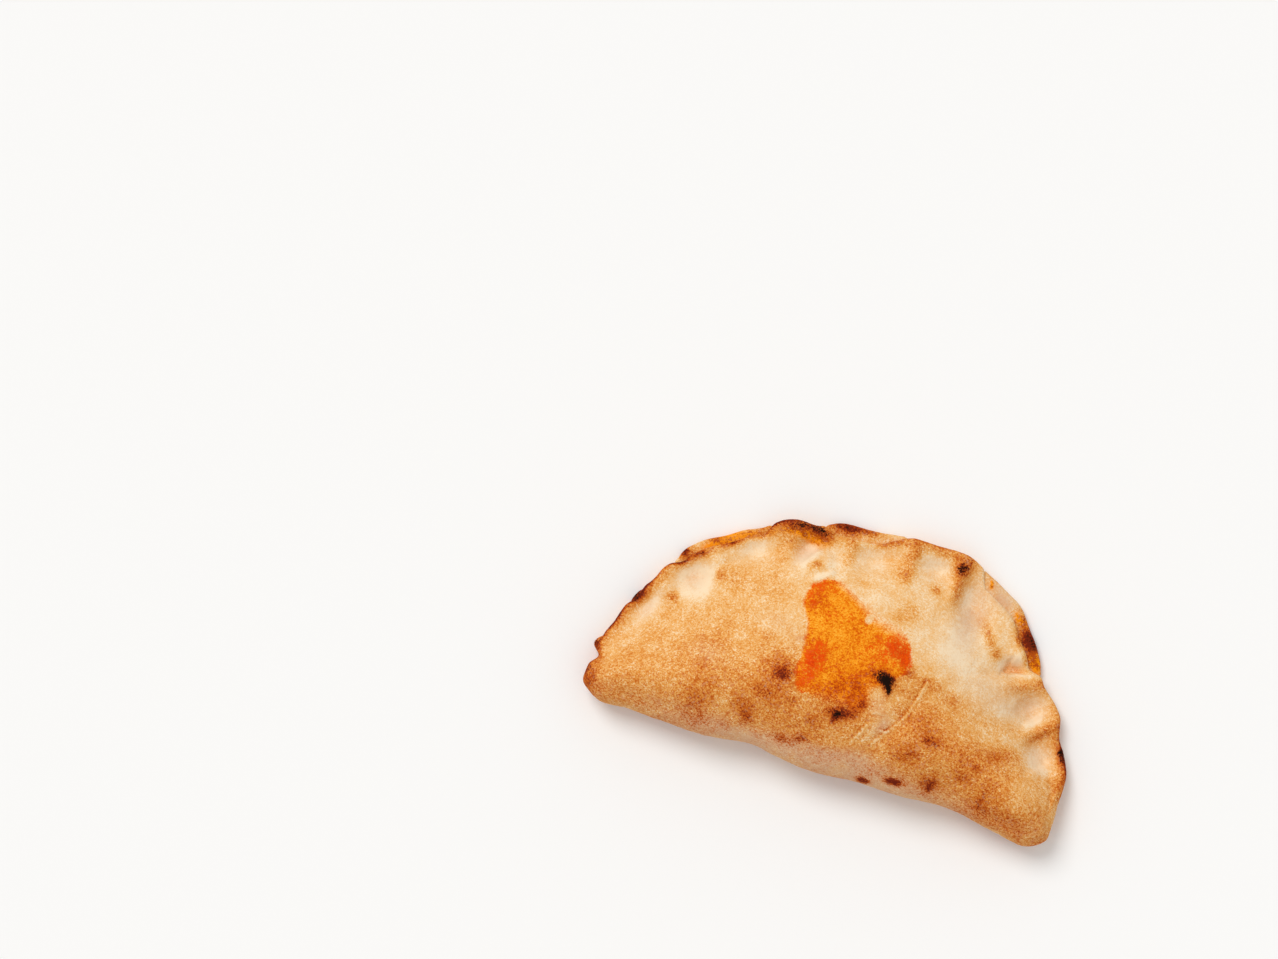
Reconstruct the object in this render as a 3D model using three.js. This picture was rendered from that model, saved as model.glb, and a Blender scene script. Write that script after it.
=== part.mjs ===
// A baked calzone: a disc of pizza dough folded over its filling and pinched shut.
// Millimetres, +Z up. X runs along the fold, +Y points from the fold to the pinched rim,
// and the origin is under the middle of the calzone, on the surface it lies on.
import * as THREE from "three";
import { mergeVertices } from "three/addons/utils/BufferGeometryUtils.js";

const { degToRad, lerp, smoothstep } = THREE.MathUtils;

// ---- Driving dimensions ----
const HALF_LENGTH = 106;        // middle to either tip, along the fold
const TIP_Y = -43;              // where the tips reach furthest out
const RIM_REACH = 97;           // tip line to the top of the pinched rim
const FOLD_REACH = 12.8;        // tip line to the folded edge
const FOLD_SQUARENESS = 4.5;    // 2 is a plain ellipse, more makes squarer corners
const HEIGHT = 42;              // of the filled body above the surface
const MIDDLE = { x: -3, y: -13 };  // where the mesh's rings close; it doesn't shape the body

// ---- Dough at the edges ----
// The folded edge is a round, at mid length and at the tips: half its height, how deep it is
// in plan, and the degrees that the edge band takes of it above and below the middle.
const FOLD_ROUND = {
  middle: { height: 16.5, depth: 16.5, arc: 45 },
  tip: { height: 10.5, depth: 6.5, arc: 68 },
};
const FOLD_TAPER = 2.5;         // more keeps the middle's round for longer towards the tips
const WAVE_FADE = 0.1;          // share of the fold over which its waves fade into the tips
const LAYER = 4.4;              // one layer of pinched dough
const LIP_TOP = 9.6;            // top of the pinched rim above the surface
const LIP_ROUND = 2.2;          // how far its upper and lower corners are rounded back
const LIP_SHOULDER = 0.7;       // and half way round them
const LIP_SHARE = 0.09;         // of the way to the middle that is pinched flat
const SEAM_DEPTH = 1.7;         // how far the seam between the layers is set in
const LOWER_TUCK = 1.1;         // lower layer set in under the upper one, where it is hidden
const LIFT = 0.9;               // mean height at which the lower layer's edge clears the surface
const LIFT_WAVES = 11;          // times that it rises and falls on the way round the full circle

// ---- How full the body is ----
const RISE_POWER = 2.5;         // more keeps the body full for longer towards the rim
const RIM_SOFTNESS = 1.28;      // above 1 the body meets the pinched rim in a soft hollow
const TIP_SOFTNESS = 0.7;       // below 1 the tips stay blunt
const TIP_SHARE = 0.8;          // of the half length, past which the fold belongs to the tips
const TIP_BLEND = 35;           // run above the tip line over which the tips give way to the rim
const LOBE_FADE = 4;            // more keeps the rim's lobes out of the body
const PINCH_STARTS = -47;       // Y below which the edge is all fold
const PINCH_COMPLETE = { left: -25, right: -16 };  // Y above which it is all pinched, at each tip
const FOLD_PLAIN_FROM = 0.8;    // of the way out to the fold, past which it has no dents or lumps
const UNDERSIDE_POWER = 8;      // how late the flat underside turns up towards the edge
const UNDERSIDE_FLAT = 0.35;    // height that is pressed flat against the surface

// ---- Resolution ----
const GRID = 44;                // cells across the top and the underside
const BAND = 8;                 // cells over the height of the edge
const EDGE_CROWDING = 1.5;      // more rings near the edge, where the form is finest
const WELD = 1e-3;              // vertices closer than this are one
const ON_BORDER = 1 - 1e-9;     // box coordinates past this lie on the box's border

// Pinches and lobes of the rim, seen from above. "at" is the bearing in degrees from the +X tip
// over the rim to the -X tip, "out" the millimetres that the rim bulges (or is notched, below 0).
const RIM_LOBES = [
  { at: 12, out: 1.9, width: 5.0 },
  { at: 22, out: -1.3, width: 3.0 },
  { at: 27.5, out: 0.5, width: 2.0 },
  { at: 36.6, out: -2.9, width: 4.6 },
  { at: 47, out: 1.0, width: 4.0 },
  { at: 55.5, out: 4.9, width: 6.0 },
  { at: 63, out: 2.7, width: 5.0 },
  { at: 71.5, out: 5.9, width: 7.0 },
  { at: 83, out: 1.5, width: 6.0 },
  { at: 95, out: -2.0, width: 8.0 },
  { at: 107.5, out: -3.0, width: 4.0 },
  { at: 121.5, out: -2.5, width: 4.2 },
  { at: 129.5, out: -1.9, width: 5.0 },
  { at: 144.6, out: -1.9, width: 2.6 },
  { at: 152, out: -2.7, width: 4.5 },
  { at: 158.5, out: -1.7, width: 3.4 },
  { at: 166, out: -1.9, width: 5.0 },
  { at: 173.8, out: 1.4, width: 1.8 },
  { at: 176.8, out: -2.2, width: 1.6 },
];

// Waves of the folded edge: "at" is X, "out" the bulge away from the body.
const FOLD_WAVES = [
  { at: -96, out: 2.4, width: 9 },
  { at: -28, out: -3.5, width: 16 },
  { at: 0, out: -0.8, width: 12 },
  { at: 22, out: -2.6, width: 15 },
  { at: 57, out: -4.9, width: 21 },
  { at: 96, out: 2.6, width: 9 },
];

// Stretches of rim where the lower layer reaches past the upper one, between two bearings.
const LOWER_LIPS = [
  { from: 40, to: 66, reach: 5.6 },
  { from: 86, to: 104.5, reach: 5.4 },
  { from: 120, to: 144, reach: 3.4 },
  { from: 156, to: 160, reach: 1.4 },
  { from: 172, to: 176, reach: 1.6 },
];
const LIP_FADE = 2.2;           // degrees over which such a stretch starts and ends

// Dents that fingertips left (height below 0) and the puffed folds between them (above 0).
// Each has a centre, half sizes along and across its own length, and a turn in degrees.
const PRESSED = [
  { x: 92, y: -18, long: 8.5, wide: 6.5, turn: -35, height: -4.6 },
  { x: 81, y: 1, long: 9, wide: 5.5, turn: 28, height: -5.2 },
  { x: 68, y: 15.2, long: 5.5, wide: 3.6, turn: 8, height: -4.6 },
  { x: 43, y: 37, long: 14, wide: 7, turn: 100, height: -5.4 },
  { x: 24, y: 45, long: 7, wide: 5.5, turn: 0, height: -3.4 },
  { x: -1, y: 41, long: 8.5, wide: 7, turn: 10, height: -3.2 },
  { x: -33.5, y: 34.5, long: 6.5, wide: 3.6, turn: 62, height: -5.2 },
  { x: -53, y: 27.5, long: 7.5, wide: 6, turn: 30, height: -3.4 },
  { x: -76, y: 8.5, long: 7.5, wide: 6, turn: 55, height: -5.2 },
  { x: -91, y: -11, long: 7, wide: 3.8, turn: 62, height: -3.8 },
];
const PUFFED = [
  { x: 88, y: -6, long: 9, wide: 3.4, turn: 38, height: 2.6 },
  { x: 73, y: 9.5, long: 9, wide: 3.6, turn: 12, height: 2.6 },
  { x: 69, y: 21, long: 5, wide: 3.6, turn: -20, height: 1.8 },
  { x: 57, y: 24, long: 8, wide: 5, turn: -40, height: 2.2 },
  { x: 34, y: 44, long: 10, wide: 3.6, turn: 92, height: 2.8 },
  { x: 12, y: 46, long: 10, wide: 4, turn: 92, height: 2.2 },
  { x: -14, y: 40, long: 9, wide: 4, turn: 96, height: 1.8 },
  { x: -26, y: 30, long: 6, wide: 4.5, turn: 20, height: 1.8 },
  { x: -36, y: 43, long: 11, wide: 3.4, turn: 3, height: 2.0 },
  { x: -66, y: 15, long: 8, wide: 4, turn: 120, height: 1.8 },
  { x: -84, y: -1, long: 6, wide: 3.4, turn: 150, height: 1.6 },
];
// Broad unevenness of the filled body and of the blunt tips.
const LUMPS = [
  { x: 92, y: -38, long: 15, wide: 12, turn: 0, height: 3.6 },
  { x: 52, y: -28, long: 24, wide: 13, turn: 5, height: 2.2 },
  { x: 14, y: -4, long: 15, wide: 11, turn: 20, height: 1.4 },
  { x: 27, y: -24, long: 14, wide: 5, turn: 62, height: -1.5 },
  { x: -28, y: -24, long: 20, wide: 12, turn: -10, height: 1.6 },
  { x: -66, y: -30, long: 18, wide: 13, turn: 0, height: 2.0 },
  { x: -47, y: -2, long: 13, wide: 10, turn: 30, height: -1.2 },
];

/** 1 at the centre, falling off smoothly over a width. */
const bell = (distance, width) => Math.exp(-((distance / width) ** 2));

/** Height that one dent, puff or lump adds at (x, y). */
function moundHeight(mound, x, y) {
  const turn = degToRad(mound.turn);
  const dx = x - mound.x;
  const dy = y - mound.y;
  const along = dx * Math.cos(turn) + dy * Math.sin(turn);
  const across = dy * Math.cos(turn) - dx * Math.sin(turn);
  return mound.height * bell(Math.hypot(along / mound.long, across / mound.wide), 1);
}

/** Height that a list of mounds adds at (x, y). */
function moundsHeight(mounds, x, y) {
  return mounds.reduce((sum, mound) => sum + moundHeight(mound, x, y), 0);
}

/** Sum of the bulges of a list at a bearing or an X. */
function bulge(list, at) {
  return list.reduce((sum, lobe) => sum + lobe.out * bell(at - lobe.at, lobe.width), 0);
}

/** Point (x, y) of the plan outline, moved along its normal by the bulges there. */
function outlinePoint(x, reach, power, y, out) {
  const nx = Math.sign(x) * Math.abs(x / HALF_LENGTH) ** (power - 1) / HALF_LENGTH;
  const ny = Math.sign(y) * Math.abs(y / reach) ** (power - 1) / reach;
  const normal = new THREE.Vector2(nx, ny).normalize();
  return { x: x + normal.x * out, y: TIP_Y + y + normal.y * out, normal };
}

/** Outline at a bearing over the pinched rim: half an ellipse with its lobes. */
function rimOutline(bearing) {
  const angle = degToRad(bearing);
  const out = bulge(RIM_LOBES, bearing);
  return outlinePoint(HALF_LENGTH * Math.cos(angle), RIM_REACH, 2, RIM_REACH * Math.sin(angle), out);
}

/** Distance from the tip line to the plain folded edge at an X. */
function foldReach(x) {
  const fullness = 1 - Math.min(1, Math.abs(x / HALF_LENGTH)) ** FOLD_SQUARENESS;
  return FOLD_REACH * fullness ** (1 / FOLD_SQUARENESS);
}

/** Outline at a share from -1 to 1 along the folded edge: half a squared ellipse with its waves. */
function foldOutline(share) {
  const x = HALF_LENGTH * Math.sin(share * Math.PI / 2);
  const towardsTip = smoothstep(1 - Math.abs(share), 0, WAVE_FADE);
  const out = bulge(FOLD_WAVES, x) * towardsTip;
  return outlinePoint(x, FOLD_REACH, FOLD_SQUARENESS, -foldReach(x), out);
}

/** How far the edge near (x, y) is the round fold, 1, and not the pinched rim, 0. */
function foldnessAt(x, y) {
  const rightness = smoothstep(x, -HALF_LENGTH / 2, HALF_LENGTH / 2);
  const complete = lerp(PINCH_COMPLETE.left, PINCH_COMPLETE.right, rightness);
  return 1 - smoothstep(y, PINCH_STARTS, complete);
}

/** The outline where the unit square's border point (bx, by) lies: its -Y side is the fold. */
function edgeAt(bx, by) {
  const onFold = by < -ON_BORDER;
  let walked = by + 1;                      // sides walked, in half sides, from the +X tip
  if (by > ON_BORDER) walked = 3 - bx;
  if (bx < -ON_BORDER) walked = 5 - by;
  const tipBearing = bx > 0 ? 0 : 180;
  const bearing = onFold ? tipBearing : 30 * walked;
  const edge = onFold ? foldOutline(bx) : rimOutline(bearing);
  return { ...edge, bearing, onFold, foldness: foldnessAt(edge.x, edge.y) };
}

/** How far the lower layer reaches past the upper one at a bearing. */
function lowerReach(bearing) {
  return LOWER_LIPS.reduce((most, lip) => {
    const inside = smoothstep(bearing, lip.from - LIP_FADE, lip.from + LIP_FADE)
      * (1 - smoothstep(bearing, lip.to - LIP_FADE, lip.to + LIP_FADE));
    return Math.max(most, lip.reach * inside);
  }, 0);
}

/** The folded edge's round at an X. */
function foldRound(x) {
  const { middle, tip } = FOLD_ROUND;
  const tipness = Math.min(1, Math.abs(x / HALF_LENGTH)) ** FOLD_TAPER;
  const arc = degToRad(lerp(middle.arc, tip.arc, tipness ** 2));
  const height = lerp(middle.height, tip.height, tipness);
  const depth = lerp(middle.depth, tip.depth, tipness);
  return { height, depth, arc, top: height * (1 + Math.sin(arc)), inset: depth * (1 - Math.cos(arc)) };
}

/** Inset from the outline and height of the edge band, from its top (share 0) to its foot (1). */
function bandProfile(edge, share) {
  const round = foldRound(edge.x);
  const angle = round.arc * (1 - 2 * share);
  const fold = {
    inset: round.depth * (1 - Math.cos(angle)),
    z: round.height * (1 + Math.sin(angle)),
  };
  // The pinched rim is two rounded layers with a seam between them.
  const upper = lowerReach(edge.bearing);
  const lower = LOWER_TUCK * (1 - Math.min(1, upper / LOWER_TUCK));
  const lift = LIFT * (1 + Math.sin(degToRad(edge.bearing * LIFT_WAVES)));
  const seam = LIP_TOP - LAYER;
  const rim = [
    { inset: upper + LIP_ROUND, z: LIP_TOP },
    { inset: upper + LIP_SHOULDER, z: LIP_TOP - LIP_SHOULDER },
    { inset: upper, z: LIP_TOP - LAYER / 2 },
    { inset: upper + LIP_SHOULDER, z: seam + LIP_SHOULDER },
    { inset: Math.max(upper, lower) + SEAM_DEPTH, z: seam },
    { inset: lower + LIP_SHOULDER, z: seam - LIP_SHOULDER },
    { inset: lower, z: (seam + lift) / 2 },
    { inset: lower + LIP_SHOULDER, z: lift + LIP_SHOULDER },
    { inset: lower + LIP_ROUND, z: lift },
  ][Math.round(share * BAND)];
  return {
    inset: lerp(rim.inset, fold.inset, edge.foldness),
    z: lerp(rim.z, fold.z, edge.foldness),
  };
}

/** Place of (x, y) between the middle of the fold, 0, and the plain rim ellipse, 1. */
function ellipseShare(x, y) {
  return Math.hypot(x / HALF_LENGTH, Math.max(0, y - TIP_Y) / RIM_REACH);
}

/** Place on that scale where the body starts. Along the fold it is past the body, but at the tips. */
function startShare(edge, start) {
  const share = ellipseShare(start.x, start.y);
  return edge.onFold ? lerp(1, share, smoothstep(share, TIP_SHARE, 1)) : share;
}

/** How far the body has risen towards its full height on its way in from the rim, 0 to 1. */
function riseFromRim(x, y, from, reach) {
  const tipness = 1 - smoothstep(y, TIP_Y, TIP_Y + TIP_BLEND);
  const ownShare = lerp(1, from, reach ** LOBE_FADE);
  const flatFrom = lerp(1 - LIP_SHARE, 1, tipness);
  const inner = Math.min(1, ellipseShare(x, y) / ownShare / flatFrom);
  return (1 - inner ** RISE_POWER) ** lerp(RIM_SOFTNESS, TIP_SOFTNESS, tipness);
}

/**
 * Height of the body at (x, y) going in from the fold: it goes on from the round that the edge
 * band ends at, in a wider round that reaches the full height. Near the tips it does so sooner.
 */
function heightFromFold(x, y, fromRim) {
  const round = foldRound(x);
  const start = TIP_Y - foldReach(x) - bulge(FOLD_WAVES, x) + round.inset;
  const run = Math.max(0, y - start) / Math.max(Number.EPSILON, fromRim);
  const widerHeight = (HEIGHT - round.top) / (1 - Math.sin(round.arc));
  const widerDepth = widerHeight * round.depth / round.height;
  const left = Math.max(0, Math.cos(round.arc) - run / widerDepth);
  return round.top + widerHeight * (Math.sqrt(1 - left ** 2) - Math.sin(round.arc));
}

/** Height of the top at (x, y) before its dents and puffs. */
function bodyHeight(x, y, from, reach) {
  const fromRim = riseFromRim(x, y, from, reach);
  const edgeTop = lerp(LIP_TOP, foldRound(x).top, foldnessAt(x, y));
  return lerp(edgeTop, heightFromFold(x, y, fromRim), fromRim);
}

/** Height that the dents, puffs and lumps add, fading out where the fold turns down. */
function relief(x, y, edge, reach) {
  const keep = 1 - edge.foldness * smoothstep(reach, FOLD_PLAIN_FROM, 1);
  return keep * (moundsHeight(PRESSED, x, y) + moundsHeight(PUFFED, x, y) + moundsHeight(LUMPS, x, y));
}

/** The calzone's surface for a point of the box that it is shaped from. */
function surfacePoint(box) {
  const ring = Math.max(Math.abs(box.x), Math.abs(box.y));
  const edge = ring > 0 ? edgeAt(box.x / ring, box.y / ring) : edgeAt(1, 0);
  const reach = 1 - (1 - ring) ** EDGE_CROWDING;         // 0 at the middle, 1 at the edge band
  const band = bandProfile(edge, (1 - box.z) / 2);
  const start = new THREE.Vector3(
    edge.x - edge.normal.x * band.inset, edge.y - edge.normal.y * band.inset, band.z);
  const point = new THREE.Vector3(MIDDLE.x, MIDDLE.y, 0).lerp(start, reach);
  if (box.z > ON_BORDER) {
    point.z = bodyHeight(point.x, point.y, startShare(edge, start), reach)
      + relief(point.x, point.y, edge, reach);
  } else if (box.z < -ON_BORDER) {
    point.z = Math.max(0, band.z * reach ** UNDERSIDE_POWER - UNDERSIDE_FLAT);
  } else {
    // The band's upper half follows the dents that reach the rim.
    point.z += Math.sqrt(Math.max(0, box.z)) * relief(point.x, point.y, edge, reach);
  }
  return point;
}

/** Splits the cells of the top and the underside along the diagonal that suits them, seen in plan. */
function splitCells(geometry) {
  const { index, groups } = geometry;
  const corner = [0, 1, 2, 3].map(() => new THREE.Vector3());
  const smaller = (...triangles) => Math.min(
    ...triangles.map((ends) => new THREE.Triangle(...ends.map((k) => corner[k])).getArea()));
  for (let i = groups[4].start; i < index.count; i += 6) {
    const [a, b, d, , c] = index.array.slice(i, i + 6);
    [a, b, c, d].forEach((at, k) => {
      corner[k].fromBufferAttribute(geometry.attributes.position, at).setZ(0);
    });
    if (smaller([0, 1, 2], [0, 2, 3]) > smaller([0, 1, 3], [1, 2, 3])) {
      [a, b, c, a, c, d].forEach((at, k) => index.setX(i + k, at));
    }
  }
}

/** The whole calzone as one closed body. */
function calzoneGeometry() {
  const geometry = new THREE.BoxGeometry(2, 2, 2, GRID, GRID, BAND);
  const position = geometry.attributes.position;
  const box = new THREE.Vector3();
  for (let i = 0; i < position.count; i += 1) {
    const point = surfacePoint(box.fromBufferAttribute(position, i));
    position.setXYZ(i, point.x, point.y, point.z);
  }
  splitCells(geometry);
  geometry.deleteAttribute("normal");
  geometry.deleteAttribute("uv");
  const merged = mergeVertices(geometry, WELD);
  merged.computeBoundingBox();
  const middle = merged.boundingBox.getCenter(new THREE.Vector3());
  merged.translate(-middle.x, -middle.y, -merged.boundingBox.min.z);
  merged.computeVertexNormals();
  return merged;
}

const crust = new THREE.MeshStandardMaterial({ color: 0xe3ad6d, roughness: 0.85, metalness: 0 });
crust.name = "crust";

const calzone = new THREE.Group();
const dough = new THREE.Mesh(calzoneGeometry(), crust);
dough.name = "calzone";
calzone.add(dough);

export default calzone;
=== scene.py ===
"""A baked calzone lying on a pale studio floor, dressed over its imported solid.

The dough's sizes and places are in millimetres: X along the fold, +Y from the fold to the
pinched rim, +Z up. They become metres where a mesh is made.
"""
import itertools
import logging
import math
from collections.abc import Iterable, Mapping, Sequence
from dataclasses import dataclass, field, replace
from enum import Enum

import bpy
import numpy as np
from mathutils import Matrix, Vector

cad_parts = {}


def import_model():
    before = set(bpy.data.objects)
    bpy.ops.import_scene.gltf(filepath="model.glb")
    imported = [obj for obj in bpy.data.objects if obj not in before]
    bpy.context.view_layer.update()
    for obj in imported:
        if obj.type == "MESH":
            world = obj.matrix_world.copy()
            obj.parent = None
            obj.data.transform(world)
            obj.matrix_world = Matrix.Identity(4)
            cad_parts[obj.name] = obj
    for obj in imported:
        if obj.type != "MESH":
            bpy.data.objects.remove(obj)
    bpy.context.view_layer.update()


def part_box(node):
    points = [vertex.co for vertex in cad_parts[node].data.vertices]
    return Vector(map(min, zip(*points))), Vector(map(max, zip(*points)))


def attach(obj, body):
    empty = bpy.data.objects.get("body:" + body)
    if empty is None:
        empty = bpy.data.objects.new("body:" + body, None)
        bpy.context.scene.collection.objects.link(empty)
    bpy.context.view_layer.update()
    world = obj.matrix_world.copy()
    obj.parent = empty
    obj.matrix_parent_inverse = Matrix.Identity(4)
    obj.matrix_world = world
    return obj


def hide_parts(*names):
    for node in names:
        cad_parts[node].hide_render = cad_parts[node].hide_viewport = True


MM = 0.001                      # metres in a millimetre
TINY = 1e-9                     # far below every size and share here
ON_BORDER = 1 - TINY            # unit square coordinates past this lie on its border

Span = tuple[float, float]      # where something starts and where it is complete

log = logging.getLogger("calzone")


# ---- Curves of one number ----

def bell(distance: np.ndarray, width: float | np.ndarray) -> np.ndarray:
    """1 at the centre, falling off smoothly over a width."""
    return np.exp(-((distance / width) ** 2))


def lerp(a: np.ndarray | float, b: np.ndarray | float, t: np.ndarray | float) -> np.ndarray:
    """The value a share t of the way from a to b."""
    return a + (b - a) * t


def smoothstep(x: np.ndarray, low: float, high: float | np.ndarray) -> np.ndarray:
    """0 below low, 1 above high and an ease in between."""
    t = np.clip((x - low) / (high - low), 0, 1)
    return t * t * (3 - 2 * t)


def through_levels(levels: np.ndarray, at: float) -> np.ndarray:
    """A value between the levels of a profile, on a smooth curve through them.

    Args:
        levels: The values at levels 0, 1, 2 and so on, along the first axis.
        at: The level wanted, which may lie between two.

    Returns:
        The values there.
    """
    last = len(levels) - 1
    i = min(int(at), last - 1)
    t = at - i
    before, here = levels[max(i - 1, 0)], levels[i]
    after, beyond = levels[i + 1], levels[min(i + 2, last)]
    slope = (after - before) * t
    bend = (2 * before - 5 * here + 4 * after - beyond) * t ** 2
    twist = (3 * here - before - 3 * after + beyond) * t ** 3
    return here + (slope + bend + twist) / 2


# ---- Marks and forms on the dough ----

@dataclass(frozen=True)
class Lobe:
    """A bulge along an edge: where it is, how much, and how wide."""

    at: float
    amount: float
    width: float


@dataclass(frozen=True)
class Oval:
    """A soft oval place on the dough, seen from above."""

    x: float
    y: float
    long: float
    wide: float
    turn: float                 # degrees from X to its long side
    amount: float
    crispness: float = 1.0      # above 1 it is flatter inside and ends more abruptly

    def at(self, x: np.ndarray, y: np.ndarray) -> np.ndarray:
        """How much of it there is at each point (x, y)."""
        turn = math.radians(self.turn)
        dx, dy = x - self.x, y - self.y
        along = dx * math.cos(turn) + dy * math.sin(turn)
        across = dy * math.cos(turn) - dx * math.sin(turn)
        square = (along / self.long) ** 2 + (across / self.wide) ** 2
        return self.amount * np.exp(-(square ** self.crispness))


@dataclass(frozen=True)
class Lip:
    """A stretch of rim, between two bearings, where the lower layer reaches past the upper one."""

    start: float                # degrees
    stop: float
    reach: float
    start_fade: float = 2.2     # degrees either side of the start over which it comes in


@dataclass(frozen=True)
class Crease:
    """A raised line of stretched dough with a groove beside it."""

    points: tuple[tuple[float, float], ...]
    ridge: float                # height of the line
    groove: float               # depth beside it, on the right hand as it runs
    width: float
    groove_at: float = 1.6      # widths from the line to the groove

    def distances(self, x: np.ndarray, y: np.ndarray) -> tuple[np.ndarray, np.ndarray]:
        """Distance to the line at each point (x, y), and the signed side, left hand positive."""
        nearest = np.full(x.shape, np.inf)
        side = np.zeros(x.shape)
        for (ax, ay), (bx, by) in itertools.pairwise(self.points):
            length = math.hypot(bx - ax, by - ay)
            ux, uy = (bx - ax) / length, (by - ay) / length
            along = np.clip((x - ax) * ux + (y - ay) * uy, 0, length)
            off_x, off_y = x - ax - along * ux, y - ay - along * uy
            distance = np.hypot(off_x, off_y)
            closer = distance < nearest
            nearest = np.where(closer, distance, nearest)
            side = np.where(closer, ux * off_y - uy * off_x, side)
        return nearest, side

    def at(self, x: np.ndarray, y: np.ndarray) -> np.ndarray:
        """Height that it adds at each point (x, y)."""
        distance, side = self.distances(x, y)
        across = np.copysign(distance, side)
        return (self.ridge * bell(distance, self.width)
                - self.groove * bell(across + self.groove_at * self.width, self.width))


def lobes(*rows: tuple[float, float, float]) -> tuple[Lobe, ...]:
    """Lobes from rows of place, amount and width."""
    return tuple(Lobe(*row) for row in rows)


def ovals(*rows: tuple[float, ...]) -> tuple[Oval, ...]:
    """Ovals from rows of x, y, long, wide, turn, amount and, where not 1, crispness."""
    return tuple(Oval(*row) for row in rows)


def total(parts: Iterable[Oval | Crease], x: np.ndarray, y: np.ndarray) -> np.ndarray:
    """What all the parts add together at each point (x, y)."""
    return sum((part.at(x, y) for part in parts), np.zeros(x.shape))


def bulge(parts: Iterable[Lobe], at: np.ndarray) -> np.ndarray:
    """What all the lobes add together at places along their edge."""
    return sum((lobe.amount * bell(at - lobe.at, lobe.width) for lobe in parts), np.zeros(at.shape))


class DoughNoise:
    """Smooth seeded unevenness in space, from about -1 to 1."""

    slope_count: int = 256      # slopes drawn, and cells after which the pattern comes again
    gain: float = 1.6           # brings its swings to about 1
    octave_shift: float = 17.3  # takes each octave from another part of the pattern

    def __init__(self, seed: int) -> None:
        """Draws the slopes that the noise is made of.

        Args:
            seed: The seed of the draw.
        """
        rng = np.random.default_rng(seed)
        slopes = rng.normal(size=(self.slope_count, 3))
        self.slopes = slopes / np.linalg.norm(slopes, axis=1, keepdims=True)
        self.order = rng.permutation(self.slope_count)

    def at(self, points: np.ndarray, size: float) -> np.ndarray:
        """The noise at points.

        Args:
            points: Rows of x, y and z.
            size: The distance over which it goes up and down once, roughly.

        Returns:
            One number for each point.
        """
        cells = points / size
        corner = np.floor(cells).astype(int)
        inside = cells - corner
        ease = inside ** 3 * (inside * (inside * 6 - 15) + 10)
        value = np.zeros(len(points))
        for step in itertools.product((0, 1), repeat=3):
            at = corner + step
            pick = np.zeros(len(points), dtype=int)
            for axis in at.T:
                pick = self.order[(pick + axis) % self.slope_count]
            share = np.prod(np.where(step, ease, 1 - ease), axis=1)
            value += share * np.sum(self.slopes[pick] * (inside - step), axis=1)
        return self.gain * value

    def octaves(self, points: np.ndarray, size: float, count: int) -> np.ndarray:
        """Noise with finer and finer noise added, each half as wide and half as strong."""
        return sum(self.at(points + self.octave_shift * i, size / 2 ** i) / 2 ** i
                   for i in range(count))


# ---- The dough's form, as it is in the solid ----

@dataclass(frozen=True)
class FoldRound:
    """The section of the folded edge: half its height, its depth, and the arc the edge band takes."""

    height: float
    depth: float
    arc: float                  # degrees either side of its widest point


@dataclass
class Edge:
    """Points of the outline, one for each vertex that they carry."""

    x: np.ndarray
    y: np.ndarray
    normal: np.ndarray          # pointing out, in rows of x and y
    bearing: np.ndarray         # degrees round the rim, from its right end to its left
    on_fold: np.ndarray         # true on the folded side
    foldness: np.ndarray        # 1 on the round fold, 0 on the pinched rim

    def take(self, index: np.ndarray) -> "Edge":
        """The points at some indices."""
        return Edge(self.x[index], self.y[index], self.normal[index], self.bearing[index],
                    self.on_fold[index], self.foldness[index])


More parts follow.
